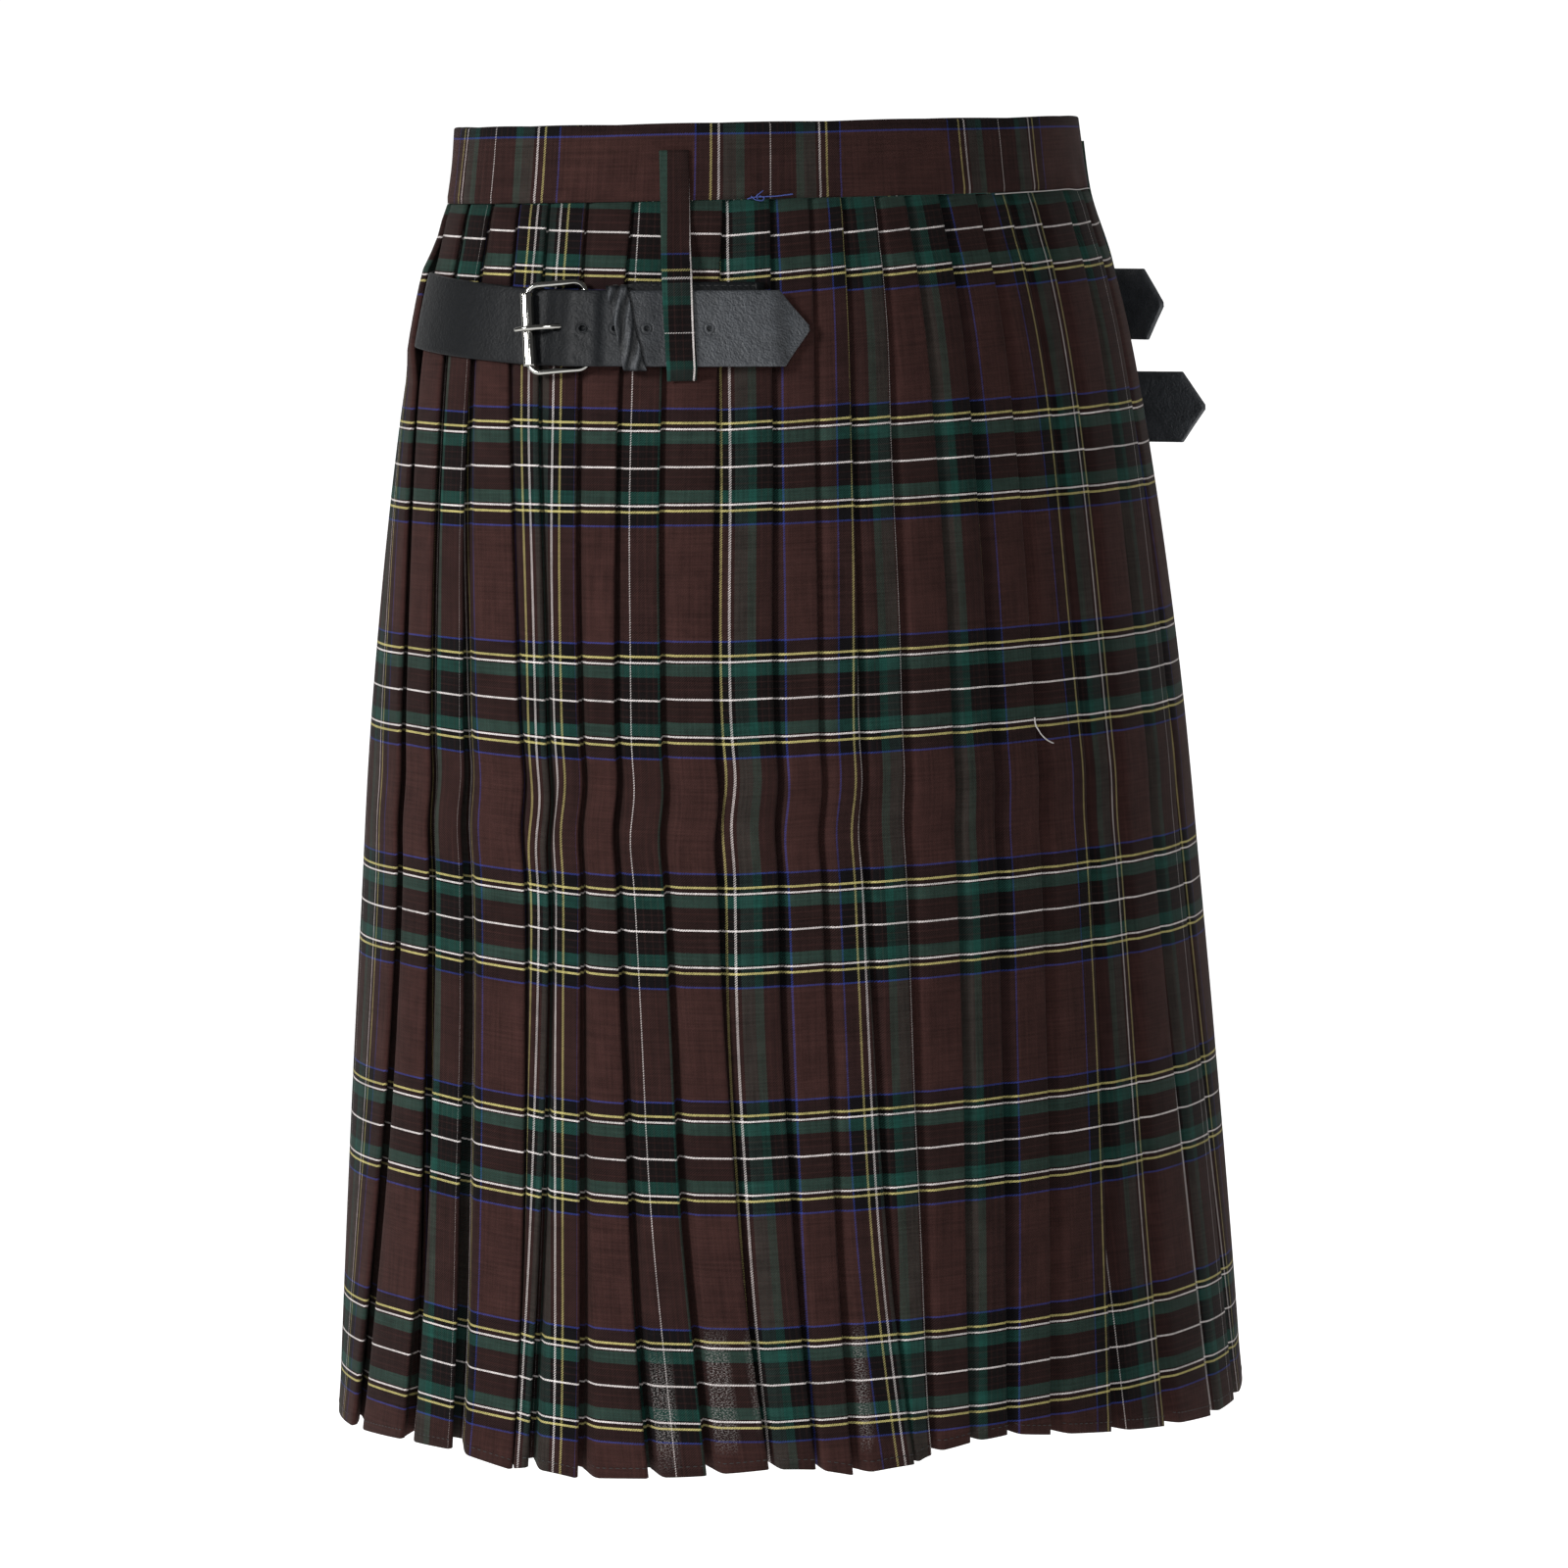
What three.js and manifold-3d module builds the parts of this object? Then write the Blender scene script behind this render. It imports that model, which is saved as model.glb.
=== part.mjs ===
import * as THREE from 'three';
import Module from 'manifold-3d';
import { mergeVertices } from 'three/addons/utils/BufferGeometryUtils.js';

// A knife-pleated tartan kilt with three leather straps and roller buckles, filled out and hollow.
// Millimetres, +Z up. The wearer would face -Y with the left hand on +X. The origin is the middle
// of the waistband, where the waist holds the kilt. Angles run round the body from +X towards +Y,
// so 90 degrees is the middle of the back and -90 the middle of the front. A drop is measured
// straight down from the top edge, and a lift is measured outwards from the outer outline.

const wasm = await Module();
wasm.setup();

// Driving dimensions
const LENGTH = 610;
const BAND_HEIGHT = 35;
const BAND_THICKNESS = 2;
const CLOTH = 1;
const SEAM_GAP = 0.3;
const CLOTH_PER_PLEAT = 55.5;
const FOLD_SPACING = 1.6;
const FLAT_LIFT = 3.2;
const APRON_RETURN = 16;
const APRON_FREE_EDGE = -145;
const UNDER_APRON_EDGE = 350;
const STRAP_WIDTH = 34.6;
const STRAP_THICKNESS = 2.4;
const STRAP_POINT = 13;
const CHAPE_THICKNESS = 1.5;
const HOLE_SPACING = 13.8;
const LOOP_WIDTH = 13;
const LOOP_THICKNESS = 1.6;

const TOP = BAND_HEIGHT / 2;
const SKIRT_TOP = BAND_HEIGHT + SEAM_GAP;
const FACE = -CLOTH / 2;
const radians = THREE.MathUtils.degToRad;

// Outer outline: half the width and half the depth of the oval at each drop
const OUTLINE = [
  { drop: 0, halfWidth: 168.9, halfDepth: 108.6 },
  { drop: 34.5, halfWidth: 172.8, halfDepth: 113.2 },
  { drop: 70, halfWidth: 183.7, halfDepth: 124.9 },
  { drop: 104, halfWidth: 191.2, halfDepth: 133.9 },
  { drop: 153, halfWidth: 198.9, halfDepth: 143.2 },
  { drop: 223, halfWidth: 207, halfDepth: 154.3 },
  { drop: 293, halfWidth: 213.4, halfDepth: 163.2 },
  { drop: 363, halfWidth: 217.9, halfDepth: 170 },
  { drop: 456, halfWidth: 224.1, halfDepth: 178.2 },
  { drop: 549, halfWidth: 229.3, halfDepth: 185.8 },
  { drop: 610, halfWidth: 232.3, halfDepth: 190.6 },
];

// Drops at which the cloth's sections are worked out, close together where the straps lie
const LEVELS = [SKIRT_TOP, 56, 68, 100, 118, 213, 330, 470, LENGTH];
const HEM_TUCK = 0.4;

// Knife pleats from the over apron's left fold round the back to the right side. Each row is one
// outer fold: its angle near the seam, at a third of the length and at the hem, how far the fold
// stands off the layers under it at the hem, and how much lower than the rest it hangs.
const FOLD_DROPS = [48, 213, 610];
const FOLDS = [
  { top: -21, mid: -10.4, hem: -17.1, lift: 7, hang: -6 },
  { top: -6.5, mid: -0.3, hem: -1, lift: 9, hang: -7.5 },
  { top: 3.5, mid: 7.7, hem: 9.3, lift: 9, hang: -6.5 },
  { top: 12.1, mid: 18.4, hem: 19.2, lift: 6, hang: 0 },
  { top: 19.8, mid: 23.5, hem: 21.9, lift: 8, hang: -1.5 },
  { top: 28.1, mid: 29.4, hem: 28.8, lift: 9, hang: 2.4 },
  { top: 36.9, mid: 35.2, hem: 38.2, lift: 9, hang: 2 },
  { top: 43.8, mid: 41.9, hem: 45.4, lift: 9, hang: 1 },
  { top: 53.1, mid: 49.7, hem: 52.9, lift: 8, hang: -1 },
  { top: 61.3, mid: 58, hem: 58.5, lift: 8, hang: 0 },
  { top: 68, mid: 64.3, hem: 63.2, lift: 7, hang: 3.8 },
  { top: 73.7, mid: 69.7, hem: 70.7, lift: 7, hang: 1 },
  { top: 79.8, mid: 76, hem: 73.2, lift: 6, hang: -3.2 },
  { top: 85.6, mid: 83.1, hem: 78, lift: 6, hang: -6.3 },
  { top: 92.3, mid: 89.4, hem: 83.1, lift: 6, hang: -7.8 },
  { top: 100.3, mid: 97, hem: 89.3, lift: 6, hang: -4.7 },
  { top: 107.8, mid: 105.4, hem: 98.9, lift: 6, hang: -1 },
  { top: 115.7, mid: 112.1, hem: 109.2, lift: 6, hang: 2.4 },
  { top: 126.5, mid: 120.8, hem: 121.6, lift: 6, hang: 5 },
  { top: 137.1, mid: 131.2, hem: 131.8, lift: 6, hang: 3.8 },
  { top: 148, mid: 143, hem: 146.4, lift: 6, hang: 1 },
  { top: 158, mid: 154.5, hem: 157.5, lift: 6, hang: -2 },
  { top: 168, mid: 166, hem: 168.5, lift: 6, hang: -3 },
  { top: 178, mid: 177, hem: 179, lift: 6, hang: 0 },
  { top: 188, mid: 188, hem: 189, lift: 5, hang: 2 },
  { top: 198, mid: 199, hem: 199.5, lift: 5, hang: 0 },
];
const LAST_FOLD = FOLDS.length - 1;
// The lengths of cloth are joined inside these folds
const LEFT_JOIN = 8;
const RIGHT_JOIN = 17;

// Where a strap comes out from under the over apron's left fold, the fold stands proud and the
// layers under it sink
const STRAP_BULGE = { drop: 84, stand: 2.9, sink: 3.3 };

// Straps: which way they run, the angle of the roller, how far from it the front end, the sewn
// tab's end and the point lie, the drop of the strap's middle at the roller and its change per
// millimetre before and after. A free strap leaves the body at `leaves`, turns outwards by
// `spring` and stands more upright by `upright`.
const FASTENINGS = [
  { name: 'left', way: 1, roller: 20.1, start: -91.1, tab: 107.6, end: 127.5, drop: 90.9, fall: 0.024,
    frontFall: 0.09, tilt: 5.5, slant: 10, leaves: 1000, spring: 0, upright: 0, under: true },
  { name: 'right_upper', way: -1, roller: 203, start: -62, tab: 80, end: 118.3, drop: 91.6, fall: 0,
    frontFall: 0, tilt: -2, slant: -4, leaves: 62, spring: 0, upright: 0.65, under: false },
  { name: 'right_lower', way: -1, roller: 203, start: -62, tab: 80, end: 122.8, drop: 142.4, fall: 0,
    frontFall: 0, tilt: 2, slant: 3, leaves: 52, spring: 8, upright: 1, under: false },
];
// How high the middle of the strap rides along its length, from the roller
const RIDE = [
  { along: -50, lift: 1.6 },
  { along: -14, lift: 1.9 },
  { along: -3, lift: 2.7 },
  { along: 4.5, lift: 2.7 },
  { along: 13, lift: 5.9 },
  { along: 22, lift: 9.4 },
  { along: 30, lift: 9.4 },
  { along: 34, lift: 6.9 },
  { along: 51, lift: 6.9 },
  { along: 59, lift: 5.4 },
];
// The same for a strap that comes out from under the over apron's left fold
const TUCKED = [
  { along: -91.1, lift: -4.2 },
  { along: -88.9, lift: -3.4 },
  { along: -86.5, lift: -1.9 },
  { along: -83.9, lift: -0.3 },
  { along: -80.5, lift: 1.4 },
  { along: -76, lift: 1.7 },
];
const TAB_GAP = 0.45;
const TAB_TOP = 3.75;
const BUCKLE = { heel: 26, heelLift: 4.2, rollerLift: 7.3, bar: 3, height: 43, corner: 4 };
const ROLLER = { bore: 2, radius: 3.1, length: 34 };
const PRONG = { radius: 1.3, slotFrom: 8.6, slotTo: 18.8, slotWidth: 3.8 };
const PRONG_ROUTE = [
  { along: 23.4, lift: 4.6 },
  { along: 20, lift: 4.5 },
  { along: 17.5, lift: 4.9 },
  { along: 14.5, lift: 6.4 },
  { along: 11.5, lift: 8.4 },
  { along: 6.5, lift: 10.4 },
  { along: 0, lift: 12 },
  { along: -5, lift: 11.4 },
];
const KEEPER = { along: 43.4, width: 10, thickness: 1.2, slack: 0.7 };

// Belt loops, each a folded strip of the cloth: angles at its ends, drops, and how far it bulges
const LOOPS = [
  { name: 'belt_loop_left', top: 44.9, bottom: 45.9, from: 12, to: 116.4, bulge: 6.5, overStrap: true },
  { name: 'belt_loop_right', top: 160, bottom: 163.5, from: 12, to: 116.4, bulge: 0.5, overStrap: false },
];

// Materials
const tartan = new THREE.MeshStandardMaterial({ color: 0x3b3a33, roughness: 0.92, metalness: 0 });
const leather = new THREE.MeshStandardMaterial({ color: 0x2b2d31, roughness: 0.55, metalness: 0 });
const nickel = new THREE.MeshStandardMaterial({ color: 0xc9ccd0, roughness: 0.2, metalness: 1 });

const kilt = new THREE.Group();

function add(name, geometry, material, parent = kilt) {
  const mesh = new THREE.Mesh(geometry, material);
  mesh.name = name;
  parent.add(mesh);
}

// Body surface

// Value of one column of a table at a position, straight between its rows
function between(rows, position, column, value) {
  const last = rows.length - 1;
  if (value <= rows[0][position]) return rows[0][column];
  if (value >= rows[last][position]) return rows[last][column];
  const next = rows.findIndex((row) => row[position] > value);
  const share = (value - rows[next - 1][position]) / (rows[next][position] - rows[next - 1][position]);
  return THREE.MathUtils.lerp(rows[next - 1][column], rows[next][column], share);
}

function outline(drop) {
  return {
    a: between(OUTLINE, 'drop', 'halfWidth', drop),
    b: between(OUTLINE, 'drop', 'halfDepth', drop),
  };
}

// Point on the outer outline, moved out by a lift
function surface(angle, drop, lift) {
  const { a, b } = outline(drop);
  const out = new THREE.Vector3(b * Math.cos(angle), a * Math.sin(angle), 0).normalize();
  const point = new THREE.Vector3(a * Math.cos(angle), b * Math.sin(angle), TOP - drop);
  return point.addScaledVector(out, lift);
}

// Millimetres of outline for each radian at an angle
function reach(angle, drop) {
  const { a, b } = outline(drop);
  return Math.hypot(a * Math.sin(angle), b * Math.cos(angle));
}

// Angle that lies a distance further round the outline
function advance(angle, drop, distance) {
  const steps = Math.ceil(Math.abs(distance) / 3) || 1;
  let at = angle;
  for (let i = 0; i < steps; i += 1) {
    const half = at + distance / steps / 2 / reach(at, drop);
    at += distance / steps / reach(half, drop);
  }
  return at;
}

// Solids

// Closed solid between two grids of points, the front one and the back one
function slab(front, back) {
  const rows = front.length;
  const count = front[0].length;
  const positions = [...front.flat(), ...back.flat()].flatMap((point) => point.toArray());
  const index = [];
  const at = (side, row, i) => (side * rows + row) * count + i;
  const quad = (p, q, r, s) => index.push(p, q, r, p, r, s);
  for (let row = 0; row < rows - 1; row += 1) {
    for (let i = 0; i < count - 1; i += 1) {
      quad(at(0, row, i), at(0, row + 1, i), at(0, row + 1, i + 1), at(0, row, i + 1));
      quad(at(1, row, i), at(1, row, i + 1), at(1, row + 1, i + 1), at(1, row + 1, i));
    }
    quad(at(0, row, 0), at(1, row, 0), at(1, row + 1, 0), at(0, row + 1, 0));
    const end = count - 1;
    quad(at(0, row, end), at(0, row + 1, end), at(1, row + 1, end), at(1, row, end));
  }
  for (let i = 0; i < count - 1; i += 1) {
    quad(at(0, 0, i), at(0, 0, i + 1), at(1, 0, i + 1), at(1, 0, i));
    const foot = rows - 1;
    quad(at(0, foot, i), at(1, foot, i), at(1, foot, i + 1), at(0, foot, i + 1));
  }
  const geometry = new THREE.BufferGeometry();
  geometry.setAttribute('position', new THREE.Float32BufferAttribute(positions, 3));
  geometry.setIndex(index);
  return facingOut(geometry);
}

// Turns a closed surface the right way out
function facingOut(geometry) {
  const position = geometry.getAttribute('position');
  const index = geometry.getIndex();
  const corner = (i) => new THREE.Vector3().fromBufferAttribute(position, index.getX(i));
  let volume = 0;
  for (let i = 0; i < index.count; i += 3) {
    volume += corner(i).dot(corner(i + 1).cross(corner(i + 2)));
  }
  if (volume < 0) {
    for (let i = 0; i < index.count; i += 3) {
      const second = index.getX(i + 1);
      index.setX(i + 1, index.getX(i + 2));
      index.setX(i + 2, second);
    }
  }
  return geometry;
}

// Upright wall of even thickness along lines of points, one line for each level
function wall(lines, thickness) {
  const sides = [1, -1].map((side) => lines.map((line) => line.map((point, i) => {
    const before = line[Math.max(i - 1, 0)];
    const after = line[Math.min(i + 1, line.length - 1)];
    const into = new THREE.Vector2(point.x - before.x, point.y - before.y).normalize();
    const outOf = new THREE.Vector2(after.x - point.x, after.y - point.y).normalize();
    const along = into.clone().add(outOf).normalize();
    const straight = i > 0 && i < line.length - 1;
    const widen = straight ? 1 / Math.max(along.dot(outOf), 0.5) : 1;
    const reachOut = (side * thickness * widen) / 2;
    return new THREE.Vector3(point.x + along.y * reachOut, point.y - along.x * reachOut, point.z);
  })));
  return slab(sides[0], sides[1]);
}

// Bends a plain geometry by moving each of its vertices
function bend(geometry, place) {
  const position = geometry.getAttribute('position');
  for (let i = 0; i < position.count; i += 1) {
    const moved = place(position.getX(i), position.getY(i), position.getZ(i));
    position.setXYZ(i, moved.x, moved.y, moved.z);
  }
  return geometry;
}

function solid(geometry) {
  const bare = geometry.clone();
  bare.deleteAttribute('normal');
  bare.deleteAttribute('uv');
  const whole = facingOut(mergeVertices(bare, 1e-4));
  const vertProperties = new Float32Array(whole.getAttribute('position').array);
  const triVerts = new Uint32Array(whole.getIndex().array);
  return new wasm.Manifold(new wasm.Mesh({ numProp: 3, vertProperties, triVerts }));
}

function plain(body) {
  const mesh = body.getMesh();
  const geometry = new THREE.BufferGeometry();
  geometry.setAttribute('position', new THREE.Float32BufferAttribute(mesh.vertProperties, 3));
  geometry.setIndex(new THREE.Uint32BufferAttribute(mesh.triVerts, 1));
  return geometry;
}

// Pleated cloth

function foldAngle(k, drop) {
  const [d0, d1, d2] = FOLD_DROPS;
  const { top, mid, hem } = FOLDS[k];
  const near = ((drop - d1) * (drop - d2)) / ((d0 - d1) * (d0 - d2));
  const middle = ((drop - d0) * (drop - d2)) / ((d1 - d0) * (d1 - d2));
  const far = ((drop - d0) * (drop - d1)) / ((d2 - d0) * (d2 - d1));
  return radians(top * near + mid * middle + hem * far);
}

// Width of the face that ends at fold k
function faceWidth(k, drop) {
  const right = foldAngle(k, drop);
  const left = foldAngle(k - 1, drop);
  return (right - left) * reach((right + left) / 2, drop);
}

// 1 where the strap passes under the over apron's fold, fading to 0 above and below it
function besideStrap(drop) {
  return 1 - THREE.MathUtils.smoothstep(Math.abs(drop - STRAP_BULGE.drop), 17, 34);
}

// How far fold k stands off the layer under it
function foldLift(k, drop) {
  const open = THREE.MathUtils.smoothstep(drop, SKIRT_TOP, LENGTH);
  const wanted = THREE.MathUtils.lerp(FLAT_LIFT, FOLDS[k].lift, Math.sqrt(open));
  const room = k < LAST_FOLD ? 0.4 * faceWidth(k + 1, drop) : wanted;
  const sunk = k === 0 ? STRAP_BULGE.sink * besideStrap(drop) : 0;
  return Math.max(FLAT_LIFT, Math.min(wanted, room)) + sunk;
}

// How far the cloth runs back under fold k
function foldDepth(k, drop) {
  if (k === 0) return APRON_RETURN;
  const width = faceWidth(k, drop);
  return Math.min((CLOTH_PER_PLEAT - width) / 2, 0.6 * width - 2);
}

// The outer fold and the layer that runs back under it, ending over the layer below
function foldOver(k, drop, raise, endLift) {
  const fold = foldAngle(k, drop);
  const edge = CLOTH * 0.8;
  return [
    { angle: advance(fold, drop, -edge - 1), lift: FACE + raise },
    { angle: advance(fold, drop, -edge), lift: FACE + raise - FOLD_SPACING / 2 },
    { angle: advance(fold, drop, -edge - 1), lift: FACE + raise - FOLD_SPACING },
    { angle: advance(fold, drop, -foldDepth(k, drop)), lift: FACE - foldLift(k, drop) + endLift },
  ];
}

// The layer that comes forward under fold k, up to where it shows
function comeForward(k, drop) {
  const fold = foldAngle(k, drop);
  const low = FACE - foldLift(k, drop);
  return [
    { angle: advance(fold, drop, -foldDepth(k, drop)), lift: low },
    { angle: fold, lift: low },
  ];
}

// The face after fold k - 1, rising on to the layers that fold k hides
function riseTo(k, drop) {
  const fold = foldAngle(k - 1, drop);
  const width = faceWidth(k, drop);
  const rise = foldLift(k - 1, drop);
  const run = Math.min(0.32 * width, width - foldDepth(k, drop) - 2.2);
  return [
    { angle: advance(fold, drop, run / 2), lift: FACE - 0.45 * rise },
    { angle: advance(fold, drop, run), lift: FACE - 0.1 * rise },
  ];
}

// The bend where the cloth turns forward again, hidden deep under fold k
function turn(k, drop) {
  const back = advance(foldAngle(k, drop), drop, -foldDepth(k, drop) - FOLD_SPACING / 2);
  return [{ angle: back, lift: FACE - foldLift(k, drop) + FOLD_SPACING / 2 }];
}

// Pleats between two joins, as one section
function pleats(first, last, drop) {
  const points = comeForward(first, drop);
  for (let k = first + 1; k <= last; k += 1) {
    const atJoin = k === last;
    const endLift = atJoin ? CLOTH + SEAM_GAP : FOLD_SPACING;
    points.push(...riseTo(k, drop), ...foldOver(k, drop, 0, endLift));
    if (!atJoin) points.push(...turn(k, drop), ...comeForward(k, drop));
  }
  return points;
}

// How far the over apron stands proud near its left fold
function bulge(drop, inward) {
  return STRAP_BULGE.stand * besideStrap(drop) * (1 - THREE.MathUtils.smoothstep(inward, 2, 45));
}

function overApron(drop) {
  const fold = foldAngle(0, drop);
  const edge = radians(APRON_FREE_EDGE);
  const points = [];
  const steps = 20;
  for (let i = 0; i < steps; i += 1) {
    const angle = THREE.MathUtils.lerp(edge, fold, (i / steps) ** 0.85);
    const inward = (fold - angle) * reach(angle, drop);
    points.push({ angle, lift: FACE + bulge(drop, inward) });
  }
  return [...points, ...foldOver(0, drop, bulge(drop, 0), CLOTH + SEAM_GAP)];
}

function underApron(drop) {
  const start = foldAngle(LAST_FOLD, drop);
  const end = radians(UNDER_APRON_EDGE);
  const deepest = Math.max(foldLift(0, drop), foldLift(1, drop)) + FOLD_SPACING;
  const points = comeForward(LAST_FOLD, drop);
  const steps = 22;
  for (let i = 1; i <= steps; i += 1) {
    const angle = THREE.MathUtils.lerp(start, end, i / steps);
    const sink = THREE.MathUtils.smoothstep(angle, radians(290), radians(326));
    const lift = THREE.MathUtils.lerp(foldLift(LAST_FOLD, drop), deepest, sink);
    points.push({ angle, lift: FACE - lift });
  }
  return points;
}

// How far the hem is drawn up: more where a layer lies deeper, and unevenly round the body
function hemRise(angle, lift) {
  const hang = between(FOLDS, 'hem', 'hang', THREE.MathUtils.radToDeg(angle));
  return HEM_TUCK * Math.max(FACE - lift, 0) - hang;
}

// Lines of points down the skirt
function skirt(section) {
  return LEVELS.map((drop) => section(drop).map(({ angle, lift }) => {
    const rise = drop === LENGTH ? hemRise(angle, lift) : 0;
    return surface(angle, drop, lift).add(new THREE.Vector3(0, 0, rise));
  }));
}

add('over_apron', wall(skirt(overApron), CLOTH), tartan);
add('under_apron', wall(skirt(underApron), CLOTH), tartan);
add('pleats_left', wall(skirt((drop) => pleats(0, LEFT_JOIN, drop)), CLOTH), tartan);
add('pleats_back', wall(skirt((drop) => pleats(LEFT_JOIN, RIGHT_JOIN, drop)), CLOTH), tartan);
add('pleats_right', wall(skirt((drop) => pleats(RIGHT_JOIN, LAST_FOLD, drop)), CLOTH), tartan);

// Waistband: a doubled strip that goes once round and laps over itself across the front
function waistbandLine(drop) {
  const outer = -BAND_THICKNESS / 2;
  const inner = outer - BAND_THICKNESS - 2 * SEAM_GAP;
  const points = [];
  const stepAngle = 5;
  for (let angle = APRON_FREE_EDGE; angle <= UNDER_APRON_EDGE; angle += stepAngle) {
    const lift = THREE.MathUtils.lerp(outer, inner, THREE.MathUtils.smoothstep(angle, 185, 205));
    points.push(surface(radians(angle), drop, lift));
  }
  return points;
}
add('waistband', wall([0, BAND_HEIGHT].map(waistbandLine), BAND_THICKNESS), tartan);

// Belt loops
function beltLoop({ top, bottom, from, to, bulge: stand, overStrap }) {
  const low = SEAM_GAP + LOOP_THICKNESS / 2;
  const rows = overStrap
    ? [[from, 0], [BAND_HEIGHT, 0.05], [55, 0.4], [69.5, 1], [92, 1], [110.8, 1], [113.8, 0.45], [to, 0]]
    : [[from, 0], [BAND_HEIGHT, 0.3], [56, 0.8], [78, 1], [100, 0.7], [to, 0]];
  const lines = rows.map(([drop, share]) => {
    const way = (drop - from) / (to - from);
    const middle = radians(THREE.MathUtils.lerp(top, bottom, way * way));
    return [-0.5, 0, 0.5].map((side) => {
      const angle = advance(middle, drop, side * LOOP_WIDTH);
      return surface(angle, drop, low + stand * share);
    });
  });
  return wall(lines, LOOP_THICKNESS);
}
for (const loop of LOOPS) add(loop.name, beltLoop(loop), tartan);

// Straps, tabs, keepers and buckles

// Point at a distance past the roller, a height across the strap and a lift off the cloth
function strapPoint(fastening, along, across, lift) {
  const { way, roller, drop, fall, frontFall, leaves, spring, upright } = fastening;
  const middle = drop + (along < 0 ? frontFall : fall) * along;
  const held = Math.min(along, leaves);
  const angle = advance(radians(roller), middle, way * held);
  const point = surface(angle, middle - across, lift);
  if (along > leaves) {
    const centre = surface(angle, middle, lift);
    const straightened = upright * THREE.MathUtils.smoothstep(along - leaves, 0, 35);
    point.lerp(centre.clone().setZ(point.z), straightened);
    const tangent = surface(advance(angle, middle, way), middle, lift).sub(centre).normalize();
    tangent.applyAxisAngle(new THREE.Vector3(0, 0, 1), radians(-way * spring));
    point.addScaledVector(tangent, along - leaves);
  }
  return point;
}

// Half the width at a place on the strap, which narrows to a blunt point
function strapHalf(fastening, along) {
  const left = THREE.MathUtils.clamp((fastening.end - along) / STRAP_POINT, 0, 1);
  return THREE.MathUtils.lerp(1.5, STRAP_WIDTH / 2, left);
}

function strapLift(fastening, along) {
  const tucked = fastening.under && along < TUCKED.at(-1).along;
  const lift = between(tucked ? TUCKED : RIDE, 'along', 'lift', along);
  const { tab, leaves } = fastening;
  const offTab = leaves > tab ? THREE.MathUtils.smoothstep(along, tab + 1, tab + 12) : 0;
  return THREE.MathUtils.lerp(lift, 1.6, offTab);
}

function strap(fastening) {
  const marks = new Set([fastening.start, fastening.end - STRAP_POINT, fastening.end]);
  for (let along = fastening.start; along < fastening.end; along += 6) marks.add(along);
  for (const { along } of [...TUCKED, ...RIDE]) marks.add(along);
  const stations = [...marks].filter((m) => m >= fastening.start).sort((p, q) => p - q);
  const kept = stations.filter((m, i) => i === 0 || m - stations[i - 1] > 1.2);
  const edges = [1, -1].map((side) => kept.map((along) => strapPoint(
    fastening, along, side * strapHalf(fastening, along), strapLift(fastening, along),
  )));
  let body = solid(wall(edges, STRAP_THICKNESS));
  const drill = (along, shape) => {
    const place = (x, y, z) => strapPoint(fastening, along + x, z, strapLift(fastening, along) + y);
    body = body.subtract(solid(bend(shape, place)));
  };
  const slot = PRONG.slotTo - PRONG.slotFrom;
  drill((PRONG.slotFrom + PRONG.slotTo) / 2, new THREE.BoxGeometry(slot, 9, PRONG.slotWidth));
  const lastHole = fastening.end - 47.2;
  for (let hole = 0; hole < 6; hole += 1) {
    const along = lastHole - hole * HOLE_SPACING;
    const clear = along < PRONG.slotFrom - 6 || along > PRONG.slotTo + 3;
    if (clear) drill(along, new THREE.CylinderGeometry(1.4, 1.4, 9, 8));
  }
  return plain(body);
}

// Tab that is folded round the buckle's heel bar and sewn to the cloth
function tab(fastening) {
  const { heel, heelLift } = BUCKLE;
  const low = TAB_GAP + CHAPE_THICKNESS / 2;
  const high = TAB_TOP - CHAPE_THICKNESS / 2;
  const around = heelLift - low;
  const route = [];
  for (let along = fastening.tab; along > heel + 2; along -= 6) route.push([along, low]);
  for (let corner = -90; corner >= -340; corner -= 35.7) {
    const at = radians(corner);
    route.push([heel + around * Math.cos(at), heelLift + around * Math.sin(at)]);
  }
  for (let along = heel + 7; along < fastening.tab - 2; along += 7) route.push([along, high]);
  const body = { ...fastening, leaves: 1000 };
  const lean = Math.tan(radians(fastening.tilt));
  const edge = (side) => route.map(([along, lift]) => {
    const wide = THREE.MathUtils.smoothstep(along, heel + 9, heel + 22);
    const across = side > 0 ? 16 + 5 * wide : -16;
    return strapPoint(body, along - lean * across * (1 - wide), across, lift);
  });
  const centre = (lean * heel) / 2;
  const place = (x, y, z) => strapPoint(body, heel + x, z + centre, heelLift + y);
  const slot = bend(new THREE.BoxGeometry(13, 10, 5.4), place);
  return plain(solid(wall([edge(1), edge(-1)], CHAPE_THICKNESS)).subtract(solid(slot)));
}

// Keeper: a leather ring round the strap
function keeper(fastening) {
  const { along, width, thickness, slack } = KEEPER;
  const skew = Math.tan(radians(fastening.slant));
  const middle = strapLift(fastening, along);
  const place = (x, y, z) => strapPoint(fastening, along + x - skew * z, z, middle + y);
  const tall = STRAP_WIDTH + 2 * slack;
  const deep = STRAP_THICKNESS + 2 * SEAM_GAP;
  const outer = new THREE.BoxGeometry(width, deep + 2 * thickness, tall + 2 * thickness, 2, 1, 1);
  const inner = new THREE.BoxGeometry(width + 4, deep, tall, 2, 1, 1);
  return plain(solid(bend(outer, place)).subtract(solid(bend(inner, place))));
}

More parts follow.
